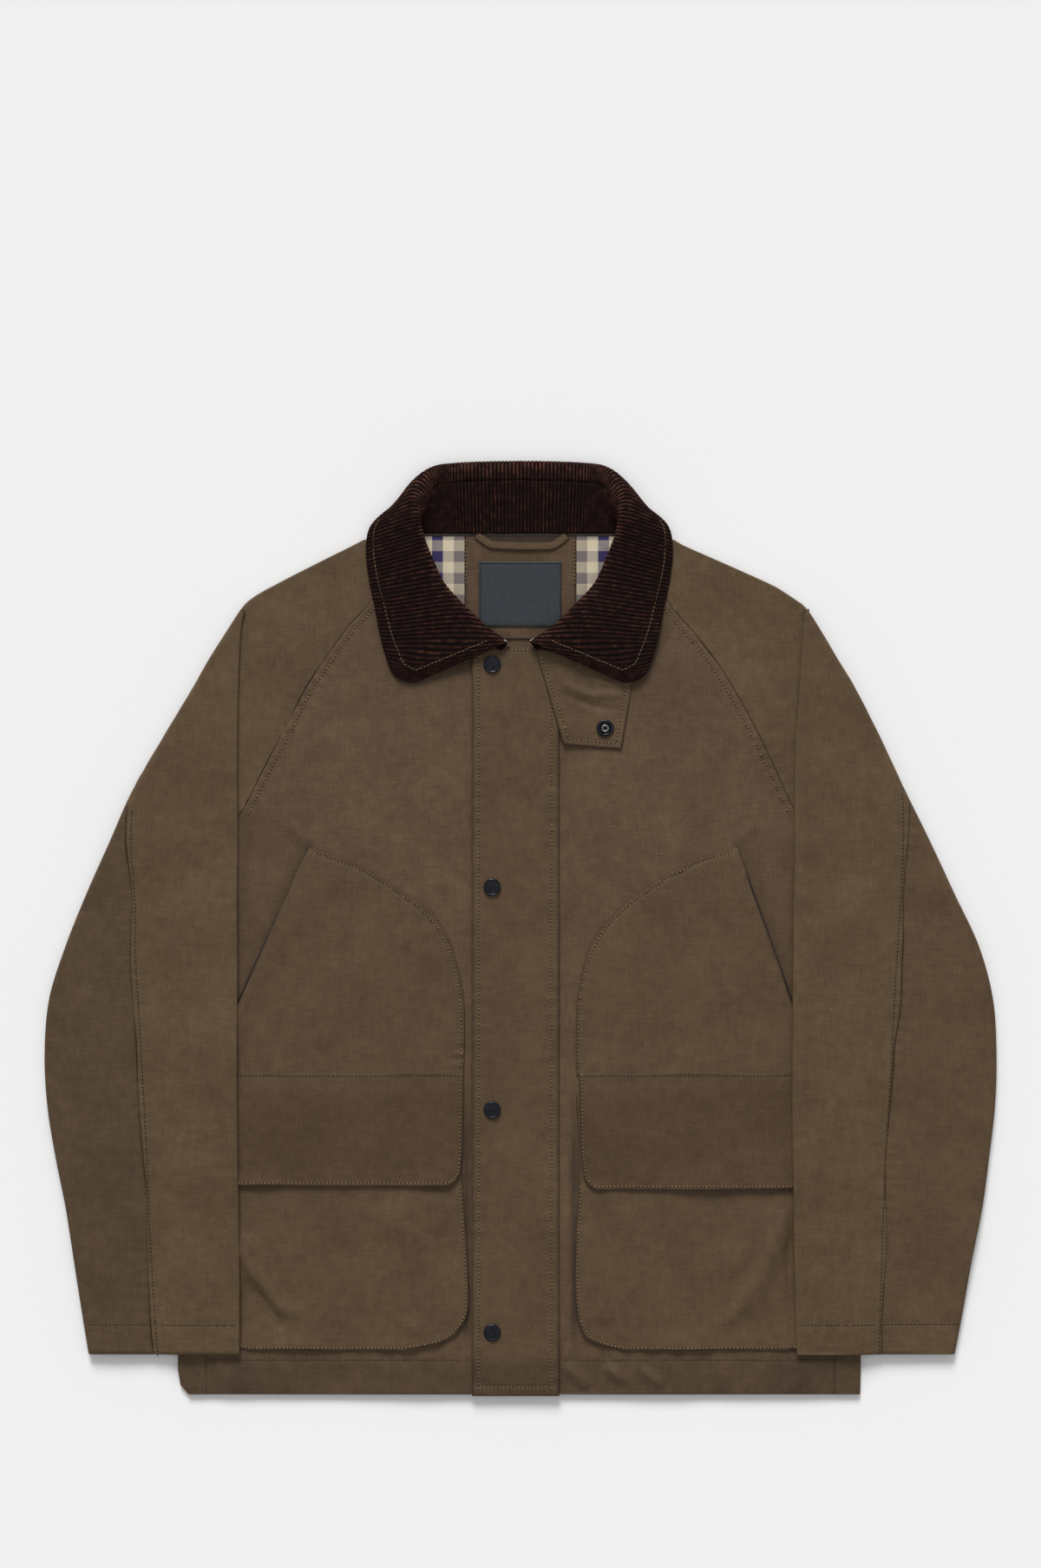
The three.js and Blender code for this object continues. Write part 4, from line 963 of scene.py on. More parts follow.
def sleeve_back(wearer, seam_path, rows, seed):
    sign, column = SIDES[wearer]
    made = []
    for y in rows_down(SHOULDER_TOP_Y, CUFF_Y):
        y = float(y)
        raglan = float(along(RAGLAN, column, y))
        end = lerp(UNDER_SEAM_REACH + 1.5, raglan, float(smoothstep(30, UNDERARM_Y + 1, y)))
        if y > SHOULDER_POINT_Y:
            start = float(along(OUTLINE, column, y)) - wrap_under(y) - LAYER - 0.3
            x = with_rims([np.linspace(start, min(end, start - 4), 40)])
            flat = np.zeros(x.shape)
            made.append((y, [x, flat + CLOTH / 2, flat, flat - 1]))
            continue
        row = sleeve_row(y, column)
        seam = float(along(SLEEVE_SEAM, column, y))
        arc_start = min(seam - 1.2, row["half"])
        arc_end = min(arc_start - 1.2, -row["half"])
        floor_end = end - row["turn_x"] - row["half"]
        parts = [np.linspace(seam, arc_start, 20), np.linspace(arc_start, arc_end, 9),
                 np.linspace(arc_end, floor_end, 13)]
        made.append((y, sleeve_points(row, with_rims(parts))))
    relief = sleeve_relief(seam_path, rows, seed)
    # The sleeve backs take darker copies of the cloth as painted shade.
    cloth = sleeve_back_shaded_cloth if wearer == "right" else pocket_cloth
    return sleeve_shell(f"sleeve_{wearer}_back_cloth", f"sleeve_{wearer}_back", sign, made, relief, cloth)


sleeve_back("right", SEAM_L, SLEEVE_L_CREASES, 3.0)
sleeve_back("left", SEAM_R, SLEEVE_R_CREASES, 4.0)

# %% [markdown]
# The shoulder stretch of the sleeve runs from the neck to the shoulder point, sewn to the front along
# the raglan seam, which puckers it. At the outline it turns under.

# %% Sleeve shoulders
BULGE = (272, 100)


def front_top(x):
    return LAYER + 1.0 - smoothstep(BULGE[1], BULGE[0], np.abs(x)) + CLOTH / 2


def sleeve_shoulder(wearer, raglan_path, seed):
    sign, column = SIDES[wearer]
    made = []
    for y in rows_down(SHOULDER_TOP_Y, UNDERARM_Y):
        y = float(y)
        raglan = float(along(RAGLAN, column, y))
        turned = y > SHOULDER_POINT_Y
        rim = float(along(OUTLINE, column, y)) - CLOTH / 2 - FOLD_RADIUS
        start = rim if turned else float(along(HIDDEN_FOLD, column, y))
        across = np.linspace(start, raglan, 44)
        across = np.concatenate([across[:-1], [raglan + r for r in RIM[::-1]]])
        flat = np.zeros(across.shape)
        if turned:
            first = lerp(0.5, 0.0, float(smoothstep(262, 276, y))) * math.pi
            angle = np.concatenate([np.full(4, first), np.linspace(first, math.pi, 9)[:-1]])
            slide = np.concatenate([[1, 0.95, 0.6, 0.3], np.zeros(8)]) * wrap_under(y)
            x = start + FOLD_RADIUS * np.sin(angle) - slide
            z = CLOTH / 2 + FOLD_RADIUS * (1 - np.cos(angle))
            edge = [x, z, np.sin(angle), -np.cos(angle)]
        else:
            x = np.linspace(start + 3, start + 0.4, 12)
            edge = [x, front_top(x), 0 * x, 0 * x + 1]
        rest = [across, front_top(across), flat, flat + 1]
        made.append((y, [np.concatenate(pair) for pair in zip(edge, rest)]))

    def relief(xs, ys):
        clear = smoothstep(243, 236, np.abs(xs)) + smoothstep(268, 280, ys)
        waves = swell(xs, ys, 70, 1.8, seed) + swell(xs, ys, 26, 0.5, seed + 2)
        height = waves * away(xs, ys, raglan_path) + pucker(xs, ys, raglan_path, 11, 0.4, 12, seed)
        return height * np.clip(clear, 0, 1)

    return sleeve_shell(f"sleeve_{wearer}_shoulder_cloth", f"sleeve_{wearer}_shoulder", sign, made, relief,
                        sleeve_cloth)


sleeve_shoulder("right", RAGLAN_L, 5.0)
sleeve_shoulder("left", RAGLAN_R, 6.0)

# %% [markdown]
# Each pocket is three pieces: an upper piece, sewn down flat, a bag with some fullness, and a flap that
# covers the mouth of the bag. The flaps' lower edges lift off the bag here and there, the bag bulges at
# its inner side and foot, and the slanting mouth behind the upper piece stands open a little.

# %% Shapes of the pockets
MOUTH_RISE = 2.2
BAG_RISE = 1.8
CORNER_RADIUS = 15


def edge_lift(spots, edge_y, reach, height):
    def bend(xs, ys):
        near = np.clip(1 - (ys - edge_y) / reach, 0, 1) ** 2
        wave = sum(np.exp(-(((xs - x) / width) ** 2)) * share for x, width, share in spots)
        return height * near * wave
    return bend


def mouth_lift(mouth):
    def bend(xs, ys):
        gap, reach, length = to_path(xs, ys, mouth)
        return MOUTH_RISE * np.sin(np.pi * np.clip(reach / length, 0, 1)) ** 0.5 * np.exp(-((gap / 16) ** 2))
    return bend


def bag_lift(inner_x, foot_y):
    def bend(xs, ys):
        side = np.exp(-(((xs - inner_x) / 14) ** 2)) * smoothstep(-232, -268, ys)
        foot = np.exp(-(((ys - foot_y) / 12) ** 2))
        return BAG_RISE * np.maximum(side, foot * (0.6 + 0.4 * np.sin(xs / 17)))
    return bend


def round_corner(edges, inner, foot):
    outer = LEFT if inner == RIGHT else RIGHT
    upright = float(along(edges, inner, foot + CORNER_RADIUS))
    inward = -CORNER_RADIUS if inner == RIGHT else CORNER_RADIUS
    rows = []
    for angle in np.radians(np.arange(90, -1, -10)):
        y = foot + CORNER_RADIUS * (1 - math.sin(angle))
        row = [y, 0, 0]
        row[outer] = float(along(edges, outer, y))
        row[inner] = upright + inward * (1 - math.cos(angle))
        rows.append(tuple(row))
    return rows + [row for row in edges if row[0] > foot + CORNER_RADIUS + 1]


def pocket_relief(rows, seams, seed, low=0.7):
    def relief(xs, ys):
        height = (swell(xs, ys, 60, 2.2 * low, seed) + swell(xs, ys, 22, 0.5, seed + 4)
                  + creases(xs, ys, rows) * 3.0)
        for seam in seams:
            height = height + groove(xs, ys, seam, 0.5) + pucker(xs, ys, seam, 9, 0.4, 8, seed)
        return height
    return relief


def bag_relief(rows, seed):
    full = pocket_relief(rows, [], seed, 0.8)

    def relief(xs, ys):
        return full(xs, ys) * smoothstep(-212, -238, ys)
    return relief


# %% Pockets
UPPER_L_SEAM = [(-182, 68), (-141, 53), (-112, 36), (-82, 14), (-65, -10), (-57, -34), (-52, -60),
                (-51, -120)]
UPPER_R_SEAM = [(186, 68), (159, 60), (126, 44), (97, 24), (76, 5), (66, -10), (57, -33), (51, -60),
                (50, -120)]
FLAP_L_SPOTS = [(-230, 20, 1.0), (-72, 20, 0.9), (-150, 26, 0.35), (-144, 140, 0.45)]
FLAP_R_SPOTS = [(160, 26, 1.0), (215, 20, 0.5), (66, 14, 0.5), (144, 140, 0.45)]
BAG_L_CREASES = [
    ([(-246, -268), (-228, -300), (-210, -324), (-190, -335)], 6, 1.3),
    ([(-240, -262), (-229, -280)], 4, 0.6),
    ([(-234, -300), (-215, -330), (-205, -345)], 6, -0.9),
    ([(-120, -235), (-100, -262), (-96, -300)], 16, 0.7),
    ([(-60, -230), (-72, -262)], 9, 0.6),
    ([(-110, -338), (-80, -346)], 7, 0.5),
]
BAG_R_CREASES = [
    ([(234, -231), (221, -269), (206, -300), (186, -330)], 9, 1.5),
    ([(233, -226), (233, -275), (235, -336)], 5, -1.0),
    ([(215, -238), (200, -270), (170, -300)], 12, 0.8),
    ([(205, -318), (160, -345)], 8, 0.6),
    ([(90, -240), (110, -280), (104, -320)], 16, 0.6),
    ([(60, -300), (74, -340)], 8, 0.5),
]
FLAP_TOP_Y = -123.1
UPPER_TUCK = 2.4
FLAP_LIFT = 2.2
BAG_FOOT_Y = -360
pocket_rows = {
    "right": (RIGHT, MOUTH_L, -48, UPPER_L_SEAM, BAG_L_CREASES, FLAP_L_SPOTS, -220, 7.0),
    "left": (LEFT, MOUTH_R, 48, UPPER_R_SEAM, BAG_R_CREASES, FLAP_R_SPOTS, -223, 8.0),
}
flap_edges = {}
for wearer, (inner, mouth, inner_x, seam, bag_rows, spots, flap_bottom, seed) in pocket_rows.items():
    upper = node_edges(f"pocket_{wearer}_upper")
    upper[0] = (FLAP_TOP_Y - UPPER_TUCK, *upper[0][1:])
    flat_panel(f"pocket_{wearer}_upper_cloth", f"pocket_{wearer}_upper",
               pocket_relief([], [seam], seed, 0.5), material=pocket_cloth, edges=upper,
               bend=mouth_lift(mouth), rim_shade=0.7)
    flat_panel(f"pocket_{wearer}_bag_cloth", f"pocket_{wearer}_bag", bag_relief(bag_rows, seed + 1),
               material=pocket_cloth, bend=bag_lift(inner_x, BAG_FOOT_Y))
    flap = round_corner(node_edges(f"pocket_{wearer}_flap"), inner, flap_bottom)
    flap_edges[wearer] = flap
    flat_panel(f"pocket_{wearer}_flap_shaded_cloth", f"pocket_{wearer}_flap",
               pocket_relief([], [], seed + 2, 0.5), material=flap_shaded_cloth, edges=flap,
               bend=edge_lift(spots, flap_bottom, 34, FLAP_LIFT), rim_shade=0.8)

# %% [markdown]
# The storm flap covers the zip. It is two layers thick, stitched 6 mm inside both edges and at its foot,
# and its free left edge stands off a little more the further down it goes.

# %% Storm flap
FLAP_L_STITCH = [(-36, 244), (-36, -396)]
FLAP_R_STITCH = [(27, 244), (27, -396)]
FLAP_FOOT_STITCH = [(-36, -394), (25, -394)]
STORM_LIFT = 2.6


def storm_relief(xs, ys):
    height = swell(xs, ys, 80, 1.3, 11) + swell(xs, ys, 20, 0.4, 12)
    for seam in (FLAP_L_STITCH, FLAP_R_STITCH, FLAP_FOOT_STITCH):
        height = height + groove(xs, ys, seam, 0.5) + pucker(xs, ys, seam, 12, 0.3, 8, 3)
    return height


def storm_bend(xs, ys):
    free = smoothstep(-18, -42, xs) * (0.3 + 0.7 * smoothstep(60, -170, ys))
    foot = smoothstep(-394, -366, ys)
    return STORM_LIFT * free * foot * (0.75 + 0.25 * np.sin(ys / 37))


flat_panel("storm_flap_cloth", "storm_flap", storm_relief, wall=1.8, material=pocket_cloth,
           bend=storm_bend)

# %% [markdown]
# The throat tab is a small double piece at the neck. Its corners are not square, so its rows run from
# one slanting side to the other.

# %% Throat tab
TAB_CORNERS = [(12, 244), (99, 226), (37, 160), (87, 156)]
TAB_STITCHES = [[(18, 236), (42, 164)], [(93, 222), (82.5, 162)], [(42, 164.5), (82.5, 161)]]


def tab_relief(xs, ys):
    height = swell(xs, ys, 26, 0.7, 14) + swell(xs, ys, 10, 0.2, 15)
    height = height + crease(xs, ys, [(34, 213), (62, 202), (92, 203)], 3.5, 1.5)
    height = height + crease(xs, ys, [(34, 204), (62, 193), (88, 190)], 3, -1.1)
    height = height + crease(xs, ys, [(60, 216), (88, 211)], 3, 1.0)
    for seam in TAB_STITCHES:
        height = height + groove(xs, ys, seam, 0.3, 1.2) + pucker(xs, ys, seam, 6, 0.2, 5, 5)
    return height


flat_panel("throat_tab_cloth", "throat_tab", tab_relief, step=2.0, material=pocket_cloth,
           corners=TAB_CORNERS)

# %% [markdown]
# Inside the neck lie the facing, two strips of gingham lining and the bare label on the facing. The
# facing is darker where the hanger loop shades it.

# %% Inside the neck
def soft(seed, low=0.3):
    def relief(xs, ys):
        return swell(xs, ys, 24, low, seed) + swell(xs, ys, 8, low * 0.3, seed + 1)
    return relief


def label_relief(xs, ys):
    frame_line = [(-34, 316), (33, 316), (33, 264), (-34, 264), (-34, 316)]
    return swell(xs, ys, 30, 0.15, 21) + groove(xs, ys, frame_line, 0.2, 0.8)


def under_loop(xs, ys):
    return 0.85 * smoothstep(36, 27, np.abs(xs - 1)) * smoothstep(331, 335, ys)


flat_panel("neck_facing_cloth", "neck_facing", soft(17), step=2.5, wall=1.0,
           material=facing_cloth, dark=under_loop)
flat_panel("neck_lining_right_cloth", "neck_lining_right", soft(18), step=2.5, wall=1.0,
           material=lining_cloth)
flat_panel("neck_lining_left_cloth", "neck_lining_left", soft(19), step=2.5, wall=1.0,
           material=lining_cloth)
flat_panel("neck_label_cloth", "neck_label", label_relief, step=1.5, wall=1.0,
           material=label_cloth)

# %% [markdown]
# The collar is the main feature of the neck. Half of it is a table: at the front end, up the leaf, round
# the corner and to the middle of the back, with the neck edge, the roll line, the way the cloth passes
# over the roll, and the outer edge. The other half mirrors it, raised a little where the tab passes under.

# %% Collar surface
COLLAR = [
    (0.0, (15, 241, 8.9), (9, 248.5, 9.4), (0, 0, 20), (90, 213, 6.6)),
    (0.22, (22, 244.5, 8.6), (15, 252, 9.3), (0, 0, 20), (102, 215.5, 6.6)),
    (0.42, (28, 248, 8.3), (21, 256, 9.3), (0, 0, 20), (109.5, 221.5, 6.6)),
    (0.7, (37, 252.5, 7.5), (30, 262.5, 9.1), (0, 0, 20), (115, 235, 6.6)),
    (1.4, (60, 263, 2.9), (48, 280, 8.6), (0, 0, 22), (120, 253, 6.5)),
    (2.3, (76, 282, 2.9), (65, 299, 8.6), (0, 0, 22), (125, 279, 6.4)),
    (3.1, (87, 306, 2.9), (75, 320, 9.6), (0, 0, 22), (130, 303, 6.4)),
    (4.0, (92, 328, 2.9), (83, 341, 12.0), (-3, 3, 18), (132.5, 328, 6.6)),
    (4.8, (90, 340.5, 3.0), (86, 360, 14.5), (16, 10, 8), (129, 348, 5.2)),
    (5.5, (82, 341.6, 3.6), (85, 378, 12.0), (36, 30, -4), (114.5, 361.5, 2.2)),
    (6.2, (72, 341.6, 3.8), (77, 397, 7.4), (18, 8, -18), (98, 369, 1.6)),
    (7.1, (55, 341.6, 3.8), (57, 402.3, 5.6), (0, 0, -24), (60, 352, 1.6)),
    (9.0, (0, 341.6, 3.8), (0, 404, 5.6), (0, 0, -24), (0, 352, 1.6)),
]
STAND_SEAM = [(0, 1.22), (1, 1.1), (2, 0.95), (4, 0.75), (6.2, 0.6), (9, 0.6)]
TAB_LIFT = [(0, 2.6), (1.4, 2.2), (2.3, 0.5), (3.1, 0), (9, 0)]
COLLAR_END = 9.0
COLLAR_CENTRE_X = -1
COLLAR_LOWEST = 1.55


def collar_line(index, at):
    flat = [[row[0], *row[index]] for row in COLLAR]
    return np.stack([along(flat, k, at) for k in (1, 2, 3)], -1)


def collar_point(at, across):
    mirrored = at > COLLAR_END
    half = np.where(mirrored, 2 * COLLAR_END - at, at)
    lift = np.where(mirrored, along(TAB_LIFT, 1, half), 0)
    neck, roll, over, edge = (collar_line(index, half) for index in (1, 2, 3, 4))
    neck[..., 2] += 0.4 * lift
    roll[..., 2] += lift
    edge[..., 2] += lift
    standing = 1 - smoothstep(4.0, 5.2, half)
    leave = (roll - neck) * lerp(1, 0.5, standing)[..., None]
    leave[..., 2] += lerp(3, 9, standing)
    arrive = edge - roll
    on_stand = (across <= 1)[..., None]
    t = np.where(across <= 1, across, across - 1)[..., None]
    start, end = np.where(on_stand, neck, roll), np.where(on_stand, roll, edge)
    start_way, end_way = np.where(on_stand, leave, over), np.where(on_stand, over, arrive)
    point = (2 * t**3 - 3 * t**2 + 1) * start + (t**3 - 2 * t**2 + t) * start_way
    point = point + (3 * t**2 - 2 * t**3) * end + (t**3 - t**2) * end_way
    point[..., 2] = np.maximum(point[..., 2], COLLAR_LOWEST)
    point[..., 0] = COLLAR_CENTRE_X + np.where(mirrored, 1, -1) * point[..., 0]
    return point


def collar_normal(at, across):
    small = 0.01
    du = collar_point(np.minimum(at + small, 18), across) - collar_point(np.maximum(at - small, 0), across)
    dv = collar_point(at, np.minimum(across + small, 2)) - collar_point(at, np.maximum(across - small, 0))
    normal = np.cross(du, dv)
    return normal / np.maximum(np.linalg.norm(normal, axis=-1, keepdims=True), 1e-9)


# %% [markdown]
# Corduroy of 8 wales to the inch has a ridge each 3.25 mm. The collar is cut so that the wales lie nearly
# level on the leaves and run out at their lower ends. So every ridge is a slanting line over the surface,
# and each gets four rows of points: a valley, two flanks and a crest. On the rolled edge and on the back
# the crests are painted lighter, as painted highlight.

# %% Corduroy collar
WALE_PITCH = 3.25
WALE_HEIGHT = 0.62
WALE_PROFILE = [0.0, 0.74, 1.0, 0.74]
CORDUROY = 2.0
SHEAR = 1.2
LEAF_CREST_LEVEL = 0.8


def wale_places():
    at = np.linspace(0, COLLAR_END, 1800)
    middle = collar_point(at, np.full(at.shape, 1.55))
    edge = collar_point(at, np.full(at.shape, 1.98))
    share = smoothstep(3.6, 5.0, at)[1:]
    edge_step = np.linalg.norm(np.diff(edge, axis=0), axis=1)
    middle_step = np.linalg.norm(np.diff(middle, axis=0), axis=1)
    step = lerp(edge_step, middle_step, share)
    reach = np.concatenate([[0], np.cumsum(step)])
    wales = int(round(reach[-1] / WALE_PITCH))
    stations = np.linspace(0, reach[-1], wales * len(WALE_PROFILE) + 1)
    return np.interp(stations, reach, at)


def shear_at(half):
    return SHEAR * (1 - smoothstep(0.8, 4.0, half))


def wale_lines(first, last, columns):
    half = wale_places()
    outer_at = np.concatenate([half, 2 * COLLAR_END - half[::-1][1:]])
    crest = np.array([WALE_PROFILE[i % len(WALE_PROFILE)] for i in range(len(outer_at))])
    folded = np.minimum(outer_at, 2 * COLLAR_END - outer_at)
    shear = shear_at(folded)
    t = np.concatenate([[0, 0.004, 0.012], np.linspace(0.025, 0.975, columns - 6), [0.988, 0.996, 1]])
    seam = along(STAND_SEAM, 1, folded)
    low = seam if first == "seam" else np.zeros(seam.shape)
    high = np.full(seam.shape, 2.0) if last == "edge" else seam
    across = low[:, None] + (high - low)[:, None] * t[None, :]
    full = (2.0 - across) / (2.0 - seam[:, None])
    half_at = folded[:, None] - shear[:, None] * np.clip(full, 0, 1.2)
    cut = half_at < 0
    at = np.where(cut, 0, half_at)
    at = np.where(outer_at[:, None] > COLLAR_END, 2 * COLLAR_END - at, at)
    return at, across, crest


def collar_piece(name, node, first, last, columns):
    at, across, crest = wale_lines(first, last, columns)
    middle = collar_point(at, across)
    normal = collar_normal(at, across)
    relief = crest[:, None] * WALE_HEIGHT * np.ones(at.shape)
    xs, ys = middle[..., 0], middle[..., 1]
    lumps = swell(xs, ys, 26, 0.35, 31) + swell(xs, ys, 7, 0.12, 33)
    middle = middle - normal * (WALE_HEIGHT / 2)
    thing, used = shell(name, middle, normal, CORDUROY - WALE_HEIGHT, relief + lumps,
                        collar_cloth, node)
    folded = np.minimum(at, 2 * COLLAR_END - at)
    # Painted highlight: crests lighter on the rolled edge and on the back.
    rolled = np.exp(-(((across - 1.05) / 0.16) ** 2))
    crest_lift = np.maximum(rolled, smoothstep(4.2, 6.2, folded) * smoothstep(0.55, 0.8, across))
    shown = (crest[:, None] * lerp(LEAF_CREST_LEVEL, 1.0, crest_lift)).ravel()
    value = np.concatenate([shown, np.full(at.size, 0.5)])[used]
    wale = thing.data.attributes.new("wale", "FLOAT", "POINT")
    wale.data.foreach_set("value", value.astype(np.float32))


collar_piece("collar_fall_cloth", "collar_fall", "seam", "edge", 44)
collar_piece("collar_stand_cloth", "collar_stand", "neck", "seam", 22)

# %% [markdown]
# A press stud is a thin cap of sheet brass. Its profile starts as a low cylinder; insets and small moves
# give the rolled rim, the groove inside it and the domed middle, and a bevel rounds them. The tab has
# the other half, an open socket with a bright eyelet in its middle.

# %% Press studs
STUD_RADIUS = 7.5 * MM
STUD_X = -24.5
STUD_ROWS = [229, 37, -155, -347]
TAB_STUD = (73, 174)
STUD_AROUND = 40
STUD_DEPTH = 1.3 * MM


def press_stud(name, x, y, base, rings):
    bpy.ops.object.select_all(action="DESELECT")
    bpy.ops.mesh.primitive_cylinder_add(vertices=STUD_AROUND, radius=STUD_RADIUS, depth=STUD_DEPTH,
                                        location=(x * MM, y * MM, base * MM + STUD_DEPTH / 2))
    thing = bpy.context.object
    thing.name = name
    bpy.ops.object.mode_set(mode="EDIT")
    bpy.ops.mesh.select_all(action="DESELECT")
    mesh = bmesh.from_edit_mesh(thing.data)
    for face in mesh.faces:
        face.select_set(face.normal.z > 0.9)
    bmesh.update_edit_mesh(thing.data)
    for thickness, rise in rings:
        bpy.ops.mesh.inset(thickness=thickness * MM, depth=0)
        bpy.ops.transform.translate(value=(0, 0, rise * MM))
    bpy.ops.object.mode_set(mode="OBJECT")
    bevel = thing.modifiers.new("rim", "BEVEL")
    bevel.width = 0.3 * MM
    bevel.segments = 2
    bevel.limit_method = "ANGLE"
    bpy.ops.object.modifier_apply(modifier="rim")
    bpy.ops.object.transform_apply(location=True, rotation=False, scale=False)
    bpy.ops.object.shade_smooth_by_angle(angle=math.radians(40))
    thing.data.materials.append(stud_metal)
    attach(thing, "root")
    return thing


CAP_RINGS = [(0.5, 0.75), (0.7, 0.1), (0.5, -0.35), (0.5, -0.1), (0.9, 0.3), (1.4, 0.2), (1.6, 0.1)]
SOCKET_RINGS = [(0.6, 0.4), (0.9, 0.1), (0.8, -0.1), (0.5, -0.6), (0.5, -0.5)]
for number, y in enumerate(STUD_ROWS, 1):
    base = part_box(f"stud_{number}")[0].z / MM
    cap = press_stud(f"stud_{number}_cap", STUD_X, y, base, CAP_RINGS)
    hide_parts(f"stud_{number}")
socket_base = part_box("stud_tab")[0].z / MM
EYELET_RADIUS = 2.5 * MM
EYELET_WALL = 0.75 * MM
EYELET_RISE = (socket_base + 1.6) * MM
socket = press_stud("stud_tab_socket", *TAB_STUD, socket_base, SOCKET_RINGS)
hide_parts("stud_tab")
bpy.ops.object.select_all(action="DESELECT")
bpy.ops.mesh.primitive_torus_add(major_radius=EYELET_RADIUS, minor_radius=EYELET_WALL,
                                 major_segments=36, minor_segments=10,
                                 location=(TAB_STUD[0] * MM, TAB_STUD[1] * MM, EYELET_RISE))
eyelet = bpy.context.object
eyelet.name = "stud_tab_eyelet"
bpy.ops.object.transform_apply(location=True, rotation=False, scale=False)
bpy.ops.object.shade_smooth()
eyelet.data.materials.append(eyelet_metal)
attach(eyelet, "root")
print("stud faces:", len(socket.data.polygons), "each cap:", len(cap.data.polygons))

# %% [markdown]
# The hanger loop is a strap of the same cloth. It hangs between two mitred ends that are sewn in at
# the neck seam, so it is laid out here as a strip along its own line.

# %% Hanger loop
STRAP_HALF = 3.5
STRAP_LINE = [(-38, 341), (-32, 336.6), (-26.5, 333), (-24, 332.3), (-12, 331.6), (0, 331.2), (14, 331.2),
              (25, 331.4), (29, 332.2), (34, 335.6), (40, 340.5)]


def strap():
    line = np.array(STRAP_LINE, float)
    reach = np.concatenate([[0], np.cumsum(np.hypot(*np.diff(line, axis=0).T))])
    s = spaced(reach[-1], 1.5)
    points = np.stack([np.interp(s, reach, line[:, k]) for k in (0, 1)], 1)
    way = np.gradient(points, axis=0)
    way /= np.linalg.norm(way, axis=1, keepdims=True)
    side = np.stack([-way[:, 1], way[:, 0]], 1)
    t = spaced(2 * STRAP_HALF, 1.0) - STRAP_HALF
    plan = points[:, None, :] + side[:, None, :] * t[None, :, None]
    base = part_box("hanger_loop")[0].z / MM
    arch = 0.8 * np.sin(np.pi * s / reach[-1])[:, None] * np.ones(t.shape)
    middle = np.concatenate([plan, (base + 0.5 + arch)[..., None]], 2)
    normal = np.zeros(middle.shape)
    normal[..., 2] = 1
    crown = 0.15 * (1 - (t / STRAP_HALF) ** 2) * np.ones(arch.shape)
    return middle, normal, crown


loop_middle, loop_normal, loop_crown = strap()
shell("hanger_loop_cloth", loop_middle, loop_normal, 1.0, loop_crown, pocket_cloth,
      "hanger_loop")
STRAP_CUT_WIDTH = 10.5 * MM
CUT["hanger_loop_cloth"] = (STRAP_CUT_WIDTH, *CUT["hanger_loop_cloth"][1:])

# %% [markdown]
# Thread is what makes flat cloth read as sewn. There are some thousands of stitches, and each has to
# follow the cloth beneath it, so they are laid in mesh code. First, what lies on top at each spot, and
# lines that run smoothly along a seam or beside it.

# %% Lines on the cloth
def top_of_cloth():
    points, faces, owners = [], [], []
    for name in CUT:
        mesh = bpy.data.objects[name].data
        first = len(points)
        points.extend(v.co.copy() for v in mesh.vertices)
        faces.extend([first + k for k in p.vertices] for p in mesh.polygons)
        owners.extend([name] * len(mesh.polygons))
    return BVHTree.FromPolygons(points, faces), owners


cloth_top, owners = top_of_cloth()


def smooth_line(path, step=4.0):
    line = np.array(path, float)
    reach = np.concatenate([[0], np.cumsum(np.hypot(*np.diff(line, axis=0).T))])
    s = np.linspace(0, reach[-1], max(int(reach[-1] / step), 2))
    return [tuple(float(along(list(zip(reach, line[:, k])), 1, v)) for k in (0, 1)) for v in s]


def beside(path, shift):
    line = np.array(path, float)
    way = np.gradient(line, axis=0)
    way /= np.linalg.norm(way, axis=1, keepdims=True)
    return [tuple(p) for p in line + shift * np.stack([-way[:, 1], way[:, 0]], 1)]


# %% [markdown]
# A stitch is a short rounded bar that dips into the cloth at both ends. The needle leaves a hole after
# it, a low dark lens of painted shade that is also what shows of the fine seams. One function lays a
# whole seam along its line, and skips the spots where another piece lies on top.

# %% One stitch and its hole
STITCH_LENGTH = 2.3
STITCH_PITCH = 3.3
STITCH_RADIUS = 0.45
STITCH_SIDES = 6
STITCH_PROFILE = [(-0.5, 0.35, -0.9), (-0.3, 0.95, -0.1), (0.3, 0.95, -0.1), (0.5, 0.35, -0.9)]
HOLE_RISE = 0.08 * MM
HOLE_REACH = 0.9 * MM
HOLE_WIDTH = 0.72 * MM
ANGLES = np.linspace(0, 2 * math.pi, STITCH_SIDES, endpoint=False)


def add_stitch(points, faces, centre, ways, length, radius):
    forward, sideways, normal = ways
    first = len(points)
    for part, wide, rise in STITCH_PROFILE:
        middle = centre + forward * part * length * MM + normal * rise * radius * MM
        points.extend(middle + (sideways * math.cos(a) + normal * math.sin(a)) * wide * radius * MM
                      for a in ANGLES)
    for ring in range(len(STITCH_PROFILE) - 1):
        for k in range(STITCH_SIDES):
            a = first + ring * STITCH_SIDES + k
            b = first + ring * STITCH_SIDES + (k + 1) % STITCH_SIDES
            faces.append((a, a + STITCH_SIDES, b + STITCH_SIDES, b))
    last = first + (len(STITCH_PROFILE) - 1) * STITCH_SIDES
    faces.append(tuple(range(first, first + STITCH_SIDES)))
    faces.append(tuple(reversed(range(last, last + STITCH_SIDES))))


def add_hole(points, faces, centre, ways):
    forward, sideways, normal = ways
    first = len(points)
    points.append(centre + normal * HOLE_RISE)
    points.extend(centre + (forward * math.cos(a) * HOLE_REACH + sideways * math.sin(a) * HOLE_WIDTH)
                  for a in ANGLES)
    points.append(centre - normal * HOLE_RISE)
    for k in range(STITCH_SIDES):
        a, b = first + 1 + k, first + 1 + (k + 1) % STITCH_SIDES
        faces.extend([(first, a, b), (first + STITCH_SIDES + 1, b, a)])


